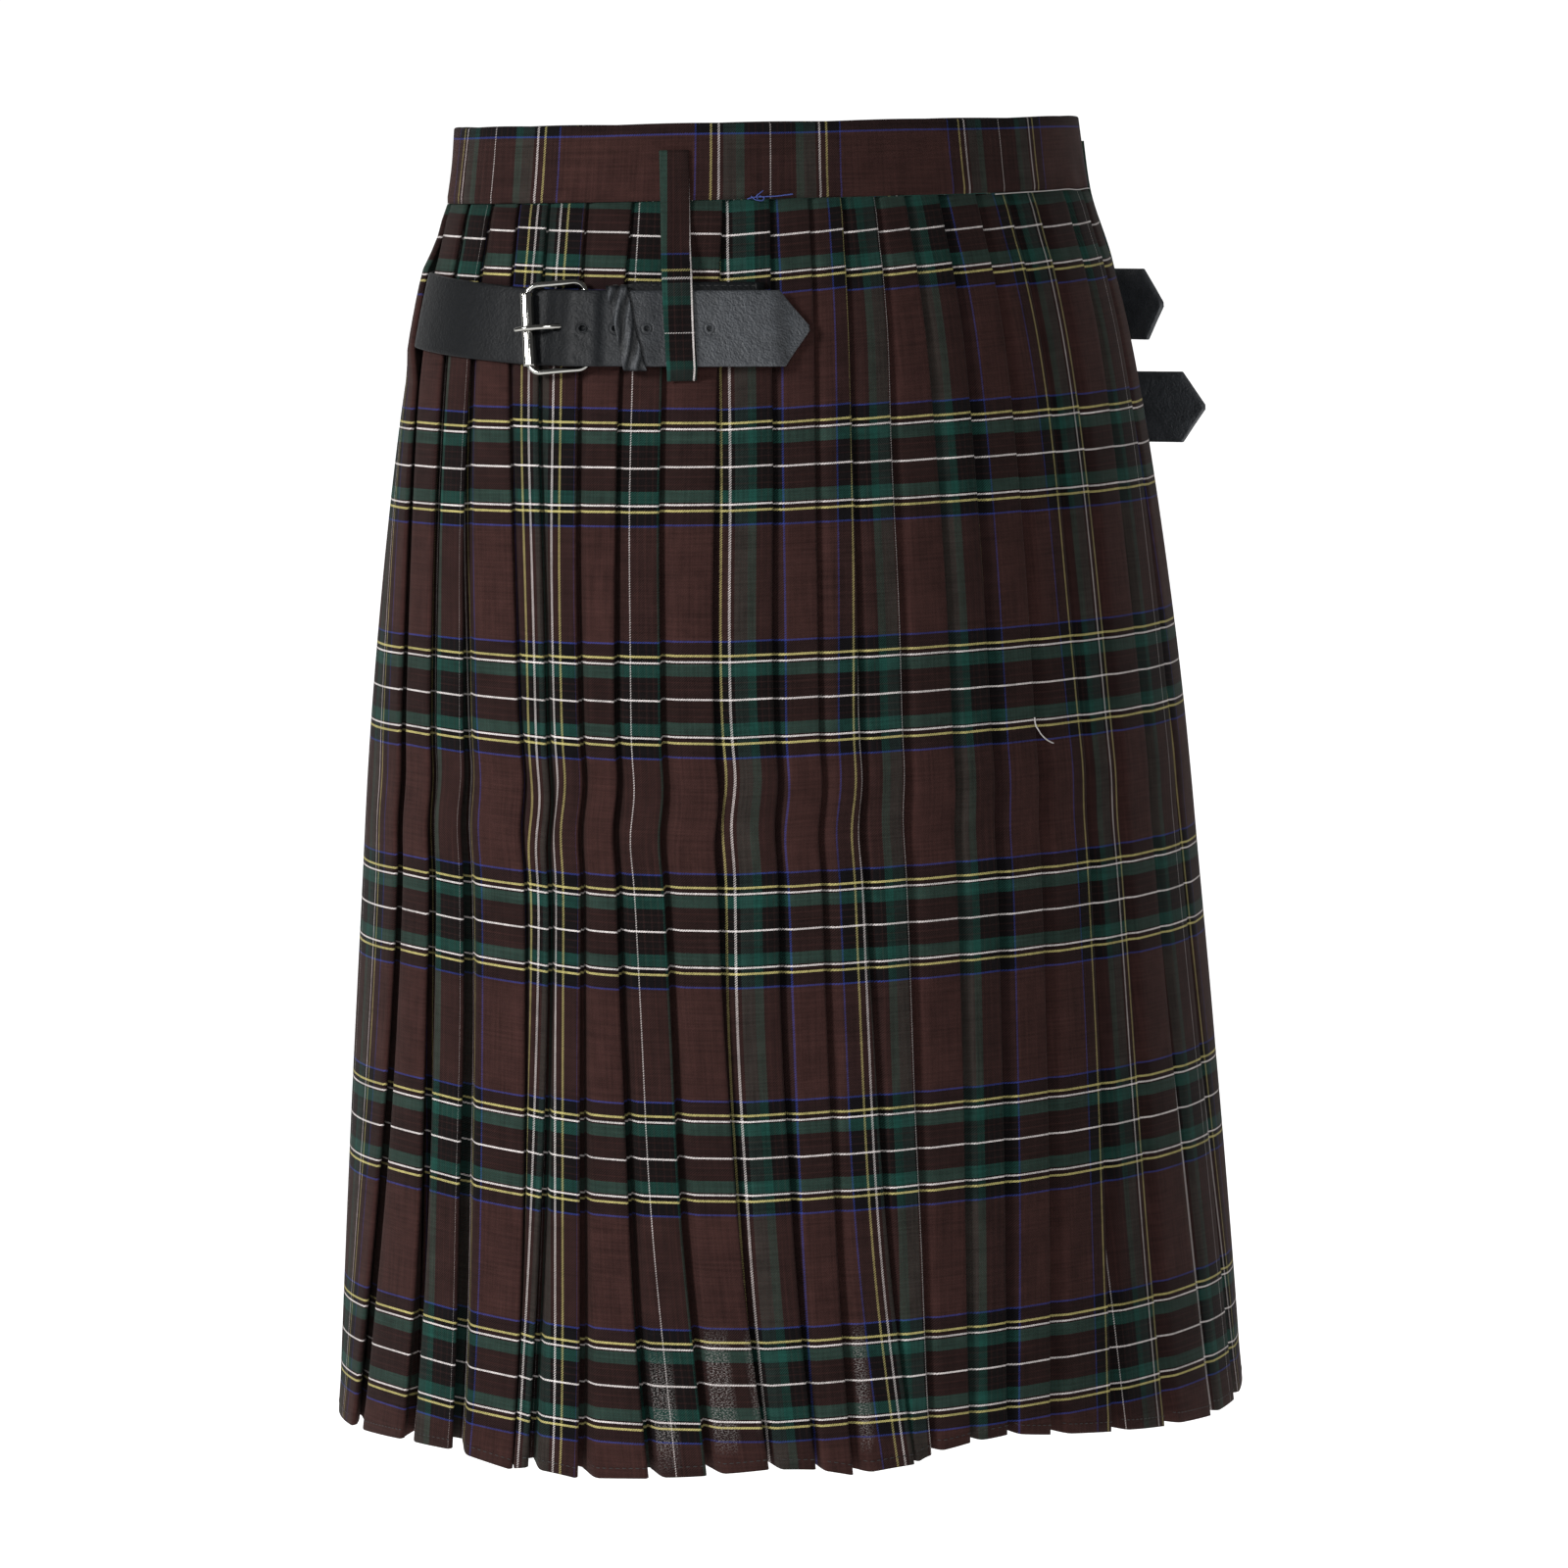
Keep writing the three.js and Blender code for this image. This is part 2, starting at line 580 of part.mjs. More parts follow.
function roundedFrame(length, height, corner) {
  const shape = new THREE.Shape();
  const x = length / 2;
  const y = height / 2;
  const quarter = Math.PI / 2;
  shape.moveTo(-x + corner, -y);
  shape.absarc(x - corner, -y + corner, corner, -quarter, 0);
  shape.absarc(x - corner, y - corner, corner, 0, quarter);
  shape.absarc(-x + corner, y - corner, corner, quarter, 2 * quarter);
  shape.absarc(-x + corner, -y + corner, corner, 2 * quarter, 3 * quarter);
  shape.closePath();
  return shape;
}

// Roller buckle: frame, roller on its front bar and prong on its heel bar, in a tilted group
function buckle(fastening) {
  const { heel, heelLift, rollerLift, bar, height, corner } = BUCKLE;
  const body = { ...fastening, leaves: 1000 };
  const heelAt = strapPoint(body, heel, 0, heelLift);
  const rollerAt = strapPoint(body, 0, 0, rollerLift);
  const length = heelAt.distanceTo(rollerAt);
  const back = heelAt.clone().sub(rollerAt).normalize();
  const edgeUp = strapPoint(body, heel / 2, 10, 5).sub(strapPoint(body, heel / 2, -10, 5));
  const across = back.clone().cross(edgeUp).normalize();
  const up = across.clone().cross(back);
  const group = new THREE.Group();
  group.quaternion.setFromRotationMatrix(new THREE.Matrix4().makeBasis(back, up, across));
  group.position.copy(heelAt).lerp(rollerAt, 0.5);
  group.rotateZ(radians(fastening.tilt));
  group.updateMatrixWorld(true);
  kilt.add(group);

  const bevel = 0.8;
  const rim = roundedFrame(length + bar - 2 * bevel, height - 2 * bevel, corner - bevel);
  const window = length - bar + 2 * bevel;
  rim.holes.push(roundedFrame(window, height - 2 * bar + 2 * bevel, corner - bar + bevel));
  const frame = new THREE.ExtrudeGeometry(rim, {
    depth: bar - 2 * bevel, bevelSize: bevel, bevelThickness: bevel, bevelSegments: 1, curveSegments: 2,
  });
  frame.translate(0, 0, -bar / 2 + bevel);
  add(`${fastening.name}_buckle_frame`, frame, nickel, group);

  const { bore, radius, length: tall } = ROLLER;
  const profile = [
    [bore, -tall / 2], [radius, -tall / 2], [radius, tall / 2], [bore, tall / 2], [bore, -tall / 2],
  ].map(([x, y]) => new THREE.Vector2(x, y));
  const roller = new THREE.LatheGeometry(profile, 12);
  roller.translate(-length / 2, 0, 0);
  add(`${fastening.name}_roller`, roller, nickel, group);

  const route = PRONG_ROUTE.map(({ along, lift }) => {
    const point = strapPoint(body, along, 0, lift);
    return group.worldToLocal(point).setY(0);
  });
  const disc = new THREE.Shape().absarc(0, 0, PRONG.radius, 0, 2 * Math.PI);
  const tongue = new THREE.ExtrudeGeometry(disc, {
    steps: 11, curveSegments: 3, bevelEnabled: false, extrudePath: new THREE.CatmullRomCurve3(route),
  });
  const eyeProfile = [
    [bore, -2], [radius, -2], [radius, 2], [bore, 2], [bore, -2],
  ].map(([x, y]) => new THREE.Vector2(x, y));
  const eye = new THREE.LatheGeometry(eyeProfile, 12);
  eye.translate(length / 2, 0, 0);
  add(`${fastening.name}_prong`, plain(solid(tongue).add(solid(eye))), nickel, group);
}

for (const fastening of FASTENINGS) {
  add(`${fastening.name}_strap`, strap(fastening), leather);
  add(`${fastening.name}_tab`, tab(fastening), leather);
  add(`${fastening.name}_keeper`, keeper(fastening), leather);
  buckle(fastening);
}

export default kilt;
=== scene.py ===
import functools
import math

import bmesh
import bpy
import numpy as np
from mathutils import Matrix, Vector

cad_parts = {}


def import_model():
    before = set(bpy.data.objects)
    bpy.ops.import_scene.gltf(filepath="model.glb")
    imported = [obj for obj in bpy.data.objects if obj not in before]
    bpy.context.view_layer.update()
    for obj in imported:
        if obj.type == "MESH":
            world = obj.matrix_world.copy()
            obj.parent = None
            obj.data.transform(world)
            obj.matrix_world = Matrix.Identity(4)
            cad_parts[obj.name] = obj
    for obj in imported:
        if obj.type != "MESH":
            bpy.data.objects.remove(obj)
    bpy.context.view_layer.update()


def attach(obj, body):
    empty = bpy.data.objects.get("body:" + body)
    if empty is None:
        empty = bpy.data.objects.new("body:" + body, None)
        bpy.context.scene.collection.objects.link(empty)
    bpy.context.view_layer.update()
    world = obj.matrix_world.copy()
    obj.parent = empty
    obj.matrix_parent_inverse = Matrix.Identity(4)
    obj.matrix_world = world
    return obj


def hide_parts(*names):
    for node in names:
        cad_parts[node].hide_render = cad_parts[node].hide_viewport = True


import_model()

# A knife-pleated tartan kilt, filled out and hollow. Sizes here are in millimetres and become metres
# where a mesh is made. Angles run round the body from the left hip (+X) to the middle of the back
# (+Y). A drop is measured straight down from the top edge, a lift outwards from the outer outline.
MM = 0.001
LENGTH = 610
BAND_HEIGHT = 35
BAND_THICKNESS = 2
CLOTH = 0.9
SEAM_GAP = 0.3
CLOTH_PER_PLEAT = 55.5
FOLD_SPACING = 1.6
FLAT_LIFT = 3.2
APRON_RETURN = 16
APRON_FREE_EDGE = -145
UNDER_APRON_EDGE = 350
BULGE_DROP = 84
BULGE_STAND = 2.9
BULGE_SINK = 3.3
TOP = BAND_HEIGHT / 2
SKIRT_TOP = BAND_HEIGHT + SEAM_GAP
FACE = -CLOTH / 2

# Outer outline: drop, half the width, half the depth
OUTLINE = np.array([
    (0, 168.9, 108.6), (34.5, 172.8, 113.2), (70, 183.7, 124.9), (104, 191.2, 133.9),
    (153, 198.9, 143.2), (223, 207, 154.3), (293, 213.4, 163.2), (363, 217.9, 170),
    (456, 224.1, 178.2), (549, 229.3, 185.8), (610, 232.3, 190.6),
])

# One row for each outer fold from the over apron's left fold round the back: its angle near the
# seam, at a third of the length and at the hem, its lift at the hem, how much lower it hangs,
# where in the tartan's repeat it falls, and how far its tartan has slipped up at the seam
FOLD_DROPS = (48, 213, 610)
FOLDS = [
    (-21, -10.4, -17.1, 7, -6, 0.85, 0), (-6.5, -0.3, -1, 9, -7.5, 0.09, 0.5),
    (3.5, 7.7, 9.3, 9, -6.5, 0.505, -0.5), (12.1, 18.4, 19.2, 6, 0, 0.93, 3),
    (19.8, 23.5, 21.9, 8, -1.5, 0.35, 4), (28.1, 29.4, 28.8, 9, 2.4, 0.77, 2.4),
    (36.9, 35.2, 38.2, 9, 2, 0.19, 1.5), (43.8, 41.9, 45.4, 9, 1, 0.60, -0.6),
    (53.1, 49.7, 52.9, 8, -1, 0.03, 0), (61.3, 58, 58.5, 8, 0, 0.465, 0.4),
    (68, 64.3, 63.2, 7, 3.8, 0.88, 0), (73.7, 69.7, 70.7, 7, 1, 0.29, 1),
    (79.8, 76, 73.2, 6, -3.2, 0.68, 0.6), (85.6, 83.1, 78, 6, -6.3, 0.09, 0.4),
    (92.3, 89.4, 83.1, 6, -7.8, 0.49, 1), (100.3, 97, 89.3, 6, -4.7, 0.90, 0.2),
    (107.8, 105.4, 98.9, 6, -1, 0.31, -0.2), (115.7, 112.1, 109.2, 6, 2.4, 0.725, 0.3),
    (126.5, 120.8, 121.6, 6, 5, 0.14, 0), (137.1, 131.2, 131.8, 6, 3.8, 0.56, 0.4),
    (148, 143, 146.4, 6, 1, 0.97, -0.3), (158, 154.5, 157.5, 6, -2, 0.385, 0.5),
    (168, 166, 168.5, 6, -3, 0.80, 0), (178, 177, 179, 6, 0, 0.215, 0.4),
    (188, 188, 189, 5, 2, 0.63, -0.4), (198, 199, 199.5, 5, 0, 0.04, 0),
]
LAST_FOLD = len(FOLDS) - 1
APRON_HALF = 255
APRON_BLEND = 240
APRON_DRAPE = 1.6
LEFT_JOIN = 8
RIGHT_JOIN = 17

# The tartan's two repeats, each mirrored: position of each stripe's start from the middle of the
# brown, in millimetres, and its colour
ACROSS = 134.4
DOWN = 105.0
BROWN = "271715"
DARK = "070608"
BLACK = "040404"
BLUE = "20285A"
YELLOW = "8C8454"
WHITE = "A8A2A0"
GREEN = "10302A"
SLATE = "192623"
SEPIA = "0A0707"
RUST = "1A0F0E"
ACROSS_STRIPES = [
    (0, BROWN), (31.0, BLUE), (31.9, DARK), (38.25, YELLOW), (39.35, BLACK), (42.0, WHITE),
    (42.9, BLACK), (44.6, SLATE), (50.6, GREEN), (54.4, SEPIA), (56.4, RUST), (57.1, SEPIA),
    (59.4, RUST), (60.2, SEPIA), (63.2, RUST), (63.9, SEPIA), (66.72, WHITE),
]
DOWN_STRIPES = [
    (0, BROWN), (25.7, BLUE), (26.6, DARK), (32.0, YELLOW), (33.05, BLACK), (34.9, WHITE),
    (35.8, BLACK), (36.5, GREEN), (42.0, SEPIA), (44.4, RUST), (45.1, SEPIA), (47.6, RUST),
    (48.3, SEPIA), (52.05, WHITE),
]
SKIRT_PHASE = 0.353
LEFT_DRAWN_UP = 8
BAND_PHASE = 0.703
BAND_WHITE_ANGLE = 62
LINE_YARNS = (WHITE, YELLOW)
TWILL = 1.1

rng = np.random.default_rng(7)


# Materials

def rgb(code):
    """Linear colour from sRGB hex."""
    parts = [int(code[i:i + 2], 16) / 255 for i in (0, 2, 4)]
    return [c / 12.92 if c <= 0.04045 else ((c + 0.055) / 1.055) ** 2.4 for c in parts] + [1]


def add_node(tree, kind, inputs=(), **settings):
    """Adds a node, sets its properties, and sets or links its inputs by number or name."""
    made = tree.nodes.new(kind)
    for name, value in settings.items():
        setattr(made, name, value)
    for key, value in dict(inputs).items():
        if isinstance(value, bpy.types.NodeSocket):
            tree.links.new(value, made.inputs[key])
        else:
            made.inputs[key].default_value = value
    return made


def new_material(name):
    made = bpy.data.materials.new(name)
    made.use_nodes = True
    made.node_tree.nodes.clear()
    return made, made.node_tree


def finish_material(made, shader):
    add_node(made.node_tree, "ShaderNodeOutputMaterial", {"Surface": shader.outputs[0]})
    return made


def math_node(operation, first, second=0.0):
    tree = first.id_data
    return add_node(tree, "ShaderNodeMath", {0: first, 1: second}, operation=operation).outputs[0]


def times(first, second):
    return math_node("MULTIPLY", first, second)


def plus(first, second):
    return math_node("ADD", first, second)


def mix_colour(share, first, second):
    made = add_node(share.id_data, "ShaderNodeMix", {0: share, 6: first, 7: second}, data_type="RGBA")
    return made.outputs[2]


def noise(place, scale, detail=2.0, roughness=0.5):
    inputs = {"Vector": place, "Scale": scale, "Detail": detail, "Roughness": roughness}
    return add_node(place.id_data, "ShaderNodeTexNoise", inputs).outputs[0]


def bump(height, strength, depth):
    inputs = {"Height": height, "Strength": strength, "Distance": depth * MM}
    return add_node(height.id_data, "ShaderNodeBump", inputs).outputs[0]


def attribute(tree, name):
    return add_node(tree, "ShaderNodeAttribute", attribute_name=name).outputs["Fac"]


def stripes(distance, period, rows):
    """Colour of one set of yarns by distance in metres, and a mask of its thicker line yarns."""
    share = times(math_node("PINGPONG", math_node("DIVIDE", distance, period * MM), 0.5), 2.0)
    made = add_node(distance.id_data, "ShaderNodeValToRGB", {"Fac": share})
    ramp = made.color_ramp
    ramp.interpolation = "CONSTANT"
    while len(ramp.elements) < len(rows):
        ramp.elements.new(0.5)
    for element, (start, code) in zip(ramp.elements, rows):
        element.position = start / (period / 2)
        element.color = rgb(code)[:3] + [1.0 if code in LINE_YARNS else 0.0]
    return made.outputs["Color"], made.outputs["Alpha"]


def tartan_twill():
    """Wool-blend suiting in a 2/2 twill: matt, with fine diagonal ribs and a little fuzz."""
    made, tree = new_material("wool_twill_tartan")
    place = add_node(tree, "ShaderNodeUVMap", uv_map="cloth").outputs[0]

    def drawn_out(scale_across, scale_down):
        scales = (scale_across, scale_down, 1)
        mapped = add_node(tree, "ShaderNodeMapping", {"Vector": place, "Scale": scales})
        return noise(mapped.outputs[0], 1.0)

    split = add_node(tree, "ShaderNodeSeparateXYZ", {0: place})
    across, down = split.outputs[0], split.outputs[1]
    warp, warp_line = stripes(across, ACROSS, ACROSS_STRIPES)
    weft, weft_line = stripes(down, DOWN, DOWN_STRIPES)
    rib = math_node("SINE", times(plus(across, down), 2 * math.pi / (TWILL * MM)))
    # The share of warp that shows: the thicker line yarns lie over the other set
    warp_share = plus(plus(times(rib, 0.34), 0.4), plus(times(warp_line, -0.06), times(weft_line, -0.2)))
    woven = mix_colour(warp_share, weft, warp)
    # Uneven yarns: streaks along both sets of threads, and clouds
    streak = plus(drawn_out(900, 25), drawn_out(25, 900))
    streak = plus(streak, times(noise(place, 60.0, 9.0, 0.75), 1.5))
    value = plus(times(streak, 0.9), -0.57)
    uneven = add_node(tree, "ShaderNodeHueSaturation", {"Color": woven, "Value": value})
    # Small pale fibre ends where the cloth is worn near the hem
    ends = math_node("GREATER_THAN", drawn_out(1100, 2100), 0.54)
    pale = times(times(ends, attribute(tree, "worn")), 0.3)
    flecked = mix_colour(pale, uneven.outputs[0], rgb("8A8684"))
    fibre = times(plus(noise(place, 1400.0, 3.0), -0.5), 0.8)
    cloth = add_node(tree, "ShaderNodeBsdfPrincipled", {
        "Base Color": flecked, "Normal": bump(plus(rib, fibre), 0.35, 0.12), "Roughness": 0.92,
        "Specular IOR Level": 0.06, "Sheen Weight": 0.03, "Sheen Roughness": 0.5,
        "Sheen Tint": rgb("B8A8A0"),
    })
    return finish_material(made, cloth)


def black_leather():
    """Finished cowhide, dyed black: a fine pebbled grain with a soft, slightly grey shine."""
    made, tree = new_material("black_grain_leather")
    at = add_node(tree, "ShaderNodeTexCoord").outputs["Object"]
    pebble = add_node(tree, "ShaderNodeTexVoronoi", {"Vector": at, "Scale": 1100.0}, feature="SMOOTH_F1")
    grain = noise(at, 600.0, 6.0)
    crease = noise(at, 160.0, 5.0)
    height = plus(plus(times(pebble.outputs[0], 0.6), grain), times(crease, 1.2))
    # Painted light: the free end of a strap and the raised creases on a keeper's face are painted paler
    # and shinier, with stronger grain, standing in for the lamps' light falling on them
    painted_light = attribute(tree, "painted_light")
    height = times(height, plus(times(painted_light, 1.4), 0.8))
    deep = mix_colour(crease, rgb("040506"), rgb("07090C"))
    painted_light_grey = mix_colour(crease, rgb("1B1D20"), rgb("383B3F"))
    leather = add_node(tree, "ShaderNodeBsdfPrincipled", {
        "Base Color": mix_colour(painted_light, deep, painted_light_grey), "Normal": bump(height, 0.8, 0.35),
        "Roughness": plus(times(grain, 0.25), 0.42),
        "Specular IOR Level": plus(times(painted_light, 0.3), 0.14),
    })
    return finish_material(made, leather)


def nickel_plate():
    """Bright nickel over steel: mirror-like, faintly warm, with fine handling marks."""
    made, tree = new_material("bright_nickel_plate")
    marks = noise(add_node(tree, "ShaderNodeTexCoord").outputs["Object"], 420.0, 5.0)
    metal = add_node(tree, "ShaderNodeBsdfPrincipled", {
        "Base Color": rgb("8E8D89"), "Metallic": 1.0, "Roughness": plus(times(marks, 0.1), 0.03),
        "Normal": bump(marks, 0.08, 0.2),
    })
    return finish_material(made, metal)


def sewing_thread(name, code):
    """Spun polyester thread: matt, with the twist of its plies."""
    made, tree = new_material(name)
    at = add_node(tree, "ShaderNodeTexCoord").outputs["Object"]
    ply = add_node(tree, "ShaderNodeTexWave", {"Vector": at, "Scale": 900.0, "Distortion": 2.0})
    spun = add_node(tree, "ShaderNodeBsdfPrincipled", {
        "Base Color": rgb(code), "Roughness": 0.7, "Normal": bump(ply.outputs["Fac"], 0.4, 0.1),
    })
    return finish_material(made, spun)


TARTAN = tartan_twill()
LEATHER = black_leather()
NICKEL = nickel_plate()
BLACK_THREAD = sewing_thread("black_thread", "070707")
WHITE_THREAD = sewing_thread("white_thread", "8E8A88")
BLUE_THREAD = sewing_thread("blue_thread", "26346E")


# Body surface

def smooth(value, low, high):
    t = np.clip((np.asarray(value, float) - low) / (high - low), 0, 1)
    return t * t * (3 - 2 * t)


def mix(first, second, share):
    return first + (second - first) * share


def through(xs, ys, x):
    """Smooth values at x on the curve through a table's rows, without overshoot."""
    xs, ys = np.asarray(xs, float), np.asarray(ys, float)
    secant = np.diff(ys) / np.diff(xs)
    both = secant[:-1] * secant[1:]
    total = secant[:-1] + secant[1:]
    inner = np.where(both > 0, 2 * both / np.where(both > 0, total, 1), 0)
    slopes = np.concatenate([secant[:1], inner, secant[-1:]])
    x = np.clip(x, xs[0], xs[-1])
    i = np.clip(np.searchsorted(xs, x, side="right") - 1, 0, len(xs) - 2)
    step = xs[i + 1] - xs[i]
    t = (x - xs[i]) / step
    return ((2 * t**3 - 3 * t**2 + 1) * ys[i] + (t**3 - 2 * t**2 + t) * step * slopes[i]
            + (3 * t**2 - 2 * t**3) * ys[i + 1] + (t**3 - t**2) * step * slopes[i + 1])


FINE_DROPS = np.linspace(0, LENGTH, 1221)
FINE_WIDTHS = through(OUTLINE[:, 0], OUTLINE[:, 1], FINE_DROPS)
FINE_DEPTHS = through(OUTLINE[:, 0], OUTLINE[:, 2], FINE_DROPS)


def outline(drop):
    return np.interp(drop, FINE_DROPS, FINE_WIDTHS), np.interp(drop, FINE_DROPS, FINE_DEPTHS)


def surface(angle, drop, lift=0.0, raise_by=0.0):
    """Points on the outer outline at a drop, moved out by a lift, in millimetres."""
    a, b = outline(drop)
    c, s = np.cos(angle), np.sin(angle)
    size = np.hypot(b * c, a * s)
    x = a * c + lift * b * c / size
    y = b * s + lift * a * s / size
    z = TOP - drop + raise_by + np.zeros_like(x)
    return np.stack([x, y, z], -1)


def reach(angle, drop):
    a, b = outline(drop)
    return np.hypot(a * np.sin(angle), b * np.cos(angle))


def advance(angle, drop, distance, steps=6):
    """Angle that lies a distance further round the outline."""
    at = np.asarray(angle, float)
    part = np.asarray(distance, float) / steps
    for _ in range(steps):
        half = at + part / 2 / reach(at, drop)
        at = at + part / reach(half, drop)
    return at


# Pleats

def fold_angle(k, drop):
    d0, d1, d2 = FOLD_DROPS
    top, mid, hem = FOLDS[k][:3]
    near = (drop - d1) * (drop - d2) / ((d0 - d1) * (d0 - d2))
    middle = (drop - d0) * (drop - d2) / ((d1 - d0) * (d1 - d2))
    far = (drop - d0) * (drop - d1) / ((d2 - d0) * (d2 - d1))
    return math.radians(top * near + mid * middle + hem * far)


# Slow wander of each fold's edge, in millimetres, as a few waves down its length
WANDER = rng.uniform(-1, 1, (len(FOLDS), 3, 2))
CREASE_DROP = rng.normal(0, 3, len(FOLDS))
PACKED_ACROSS = 309
PACKED_REACH = 13
PACKED_KINK = 1.9


def crease(k, drop):
    """Sideways kink where the kilt was folded across for packing."""
    x = (drop - PACKED_ACROSS - 0.35 * k - CREASE_DROP[k]) / PACKED_REACH
    return -PACKED_KINK * x * math.exp(-x * x / 2) * (1.0 if k < 12 else 0.6)


def wander(k, drop):
    share = smooth(drop, 40, 160)
    total = 0.0
    for n, (size, phase) in enumerate(WANDER[k]):
        total += size / (n + 1) * math.sin(math.pi * (2 * phase + (n + 1) * 1.3 * drop / 300))
    return share * 0.9 * total + crease(k, drop)


@functools.cache
def fold_line(k, drop):
    return float(advance(fold_angle(k, drop), drop, wander(k, drop)))


def face_width(k, drop):
    right, left = fold_angle(k, drop), fold_angle(k - 1, drop)
    return (right - left) * reach((right + left) / 2, drop)


def beside_strap(drop):
    """1 where the strap passes under the over apron's fold, fading to 0 above and below it."""
    return 1 - smooth(abs(drop - BULGE_DROP), 17, 34)


def fold_lift(k, drop):
    open_share = math.sqrt(smooth(drop, SKIRT_TOP, LENGTH))
    wanted = mix(FLAT_LIFT, FOLDS[k][3], open_share)
    room = 0.4 * face_width(k + 1, drop) if k < LAST_FOLD else wanted
    sunk = BULGE_SINK * beside_strap(drop) if k == 0 else 0
    return max(FLAT_LIFT, min(wanted, room)) + sunk


def fold_depth(k, drop):
    if k == 0:
        return APRON_RETURN
    width = face_width(k, drop)
    return min((CLOTH_PER_PLEAT - width) / 2, 0.6 * width - 2)


def fold_repeat(k, drop):
    """Place of fold k in the run of cloth, in millimetres."""
    turns = FOLDS[0][5]
    for row in FOLDS[1:k + 1]:
        turns = row[5] + math.ceil(turns + 0.05 - row[5])
    drift = 0.06 * smooth(drop, 60, 560) if k == 11 else 0.0
    return ACROSS * (turns + drift)


def slip(k, drop):
    return FOLDS[k][6] * (1 - smooth(drop, 60, 230))


class Section:
    """One level of the cloth: angles, lifts, and places across and down the tartan."""

    def __init__(self, drop):
        self.drop = drop
        self.rows = []

    def run(self, base, offsets, lifts, acrosses, slips):
        self.rows += zip(advance(base, self.drop, offsets), lifts, acrosses, slips)


def half_turn(count, first, last):
    """Cosines and sines of evenly spaced angles from first to last degrees."""
    angles = np.radians(np.linspace(first, last, count))
    return np.cos(angles), np.sin(angles)


def fold_over(section, k, raised, end_lift):
    """The outer fold, its round edge and the layer that runs back under it."""
    drop = section.drop
    fold = fold_line(k, drop)
    radius = FOLD_SPACING / 2
    edge = CLOTH / 2 + radius
    across = fold_repeat(k, drop)
    slipped = slip(k, drop)
    c, s = half_turn(7, 80, -90)
    centre = FACE + raised - radius
    section.run(fold, -edge + radius * c, centre + radius * s, across + np.linspace(0, 2, 7),
                [slipped] * 7)
    depth = fold_depth(k, drop)
    low = FACE - fold_lift(k, drop)
    count = 4
    t = np.linspace(0, 1, count + 1)[1:]
    offsets = mix(-edge, -depth, t)
    lifts = mix(FACE + raised - FOLD_SPACING, low + end_lift, smooth(t, -0.35, 1.0))
    section.run(fold, offsets, lifts, across + 2 + t * (depth - 2), [slipped] * count)


def come_forward(section, k, end):
    """The layer that comes forward under fold k, up to the place in the cloth where it shows."""
    drop = section.drop
    fold = fold_line(k, drop)
    depth = fold_depth(k, drop)
    low = FACE - fold_lift(k, drop)
    start = fold_repeat(k, drop) + depth + 2
    t = np.linspace(0, 1, 4)
    slips = mix(slip(k, drop), slip(min(k + 1, LAST_FOLD), drop), t)
    section.run(fold, mix(-depth, 0, t), [low] * 4, mix(start, end, t), slips)


def turn(section, k):
    drop = section.drop
    radius = FOLD_SPACING / 2
    low = FACE - fold_lift(k, drop)
    depth = fold_depth(k, drop)
    c, s = half_turn(5, 120, 240)
    across = fold_repeat(k, drop) + depth
    section.run(fold_line(k, drop), -depth + radius * 0.4 + radius * c, low + radius + radius * s,
                across + np.linspace(0.4, 1.6, 5), [slip(k, drop)] * 5)


FACE_WAVES = rng.uniform(-1, 1, (len(FOLDS) + 1, 4))
# How much the tartan climbs across a face, near the seam and further down
LAST_LEFT_FACE = 8
LEFT_LEAN = (-0.7, -1.0)
RIGHT_LEAN = (1.5, 0.6)


def rise_and_face(section, k):
    """The face after fold k - 1: it rises out of the shadow and lies flat up to fold k."""
    drop = section.drop
    left, right = fold_line(k - 1, drop), fold_line(k, drop)
    width = (right - left) * reach((left + right) / 2, drop)
    rise = fold_lift(k - 1, drop)
    run = min(0.32 * width, width - fold_depth(k, drop) - 2.2)
    across = fold_repeat(k, drop)
    slipped = slip(k, drop)
    climb = np.linspace(0, 1, 8)[1:]
    flat = np.linspace(0, 1, 7)[1:]
    edge = CLOTH / 2 + FOLD_SPACING / 2 - 0.14
    offsets = np.concatenate([run * climb, mix(run, width - edge, flat)])
    wave = FACE_WAVES[k]
    sway = 0.35 * wave[0] * math.sin(drop / 70 + 3 * wave[1])
    sway += 0.25 * wave[2] * math.sin(drop / 33 + 3 * wave[3])
    sway *= smooth(drop, 50, 130)
    lifts = np.concatenate([
        FACE - rise * (1 - smooth(climb, -0.15, 1.05)),
        FACE + sway * np.sin(np.pi * flat) - 0.25 * (1 - flat) ** 2,
    ])
    lifts[:7] -= 0.25 * smooth(climb, 0, 1)
    near_seam, below = RIGHT_LEAN if k > LAST_LEFT_FACE else LEFT_LEAN
    lean = near_seam * (1 - smooth(drop, 60, 240)) + below * smooth(drop, 150, 300)
    slips = slipped + lean * (offsets / width - 1)
    section.run(left, offsets, lifts, across - (width - offsets), slips)


def pleats(first, last, drop):
    section = Section(drop)
    come_forward(section, first, fold_repeat(first + 1, drop) - face_width(first + 1, drop))
    for k in range(first + 1, last + 1):
        rise_and_face(section, k)
        join = k == last
        fold_over(section, k, 0, CLOTH + SEAM_GAP + 0.1 if join else FOLD_SPACING)
        if not join:
            turn(section, k)
            come_forward(section, k, fold_repeat(k + 1, drop) - face_width(k + 1, drop))
    return section


def bulge(drop, inward):
    return BULGE_STAND * beside_strap(drop) * (1 - smooth(inward, 2, 45))


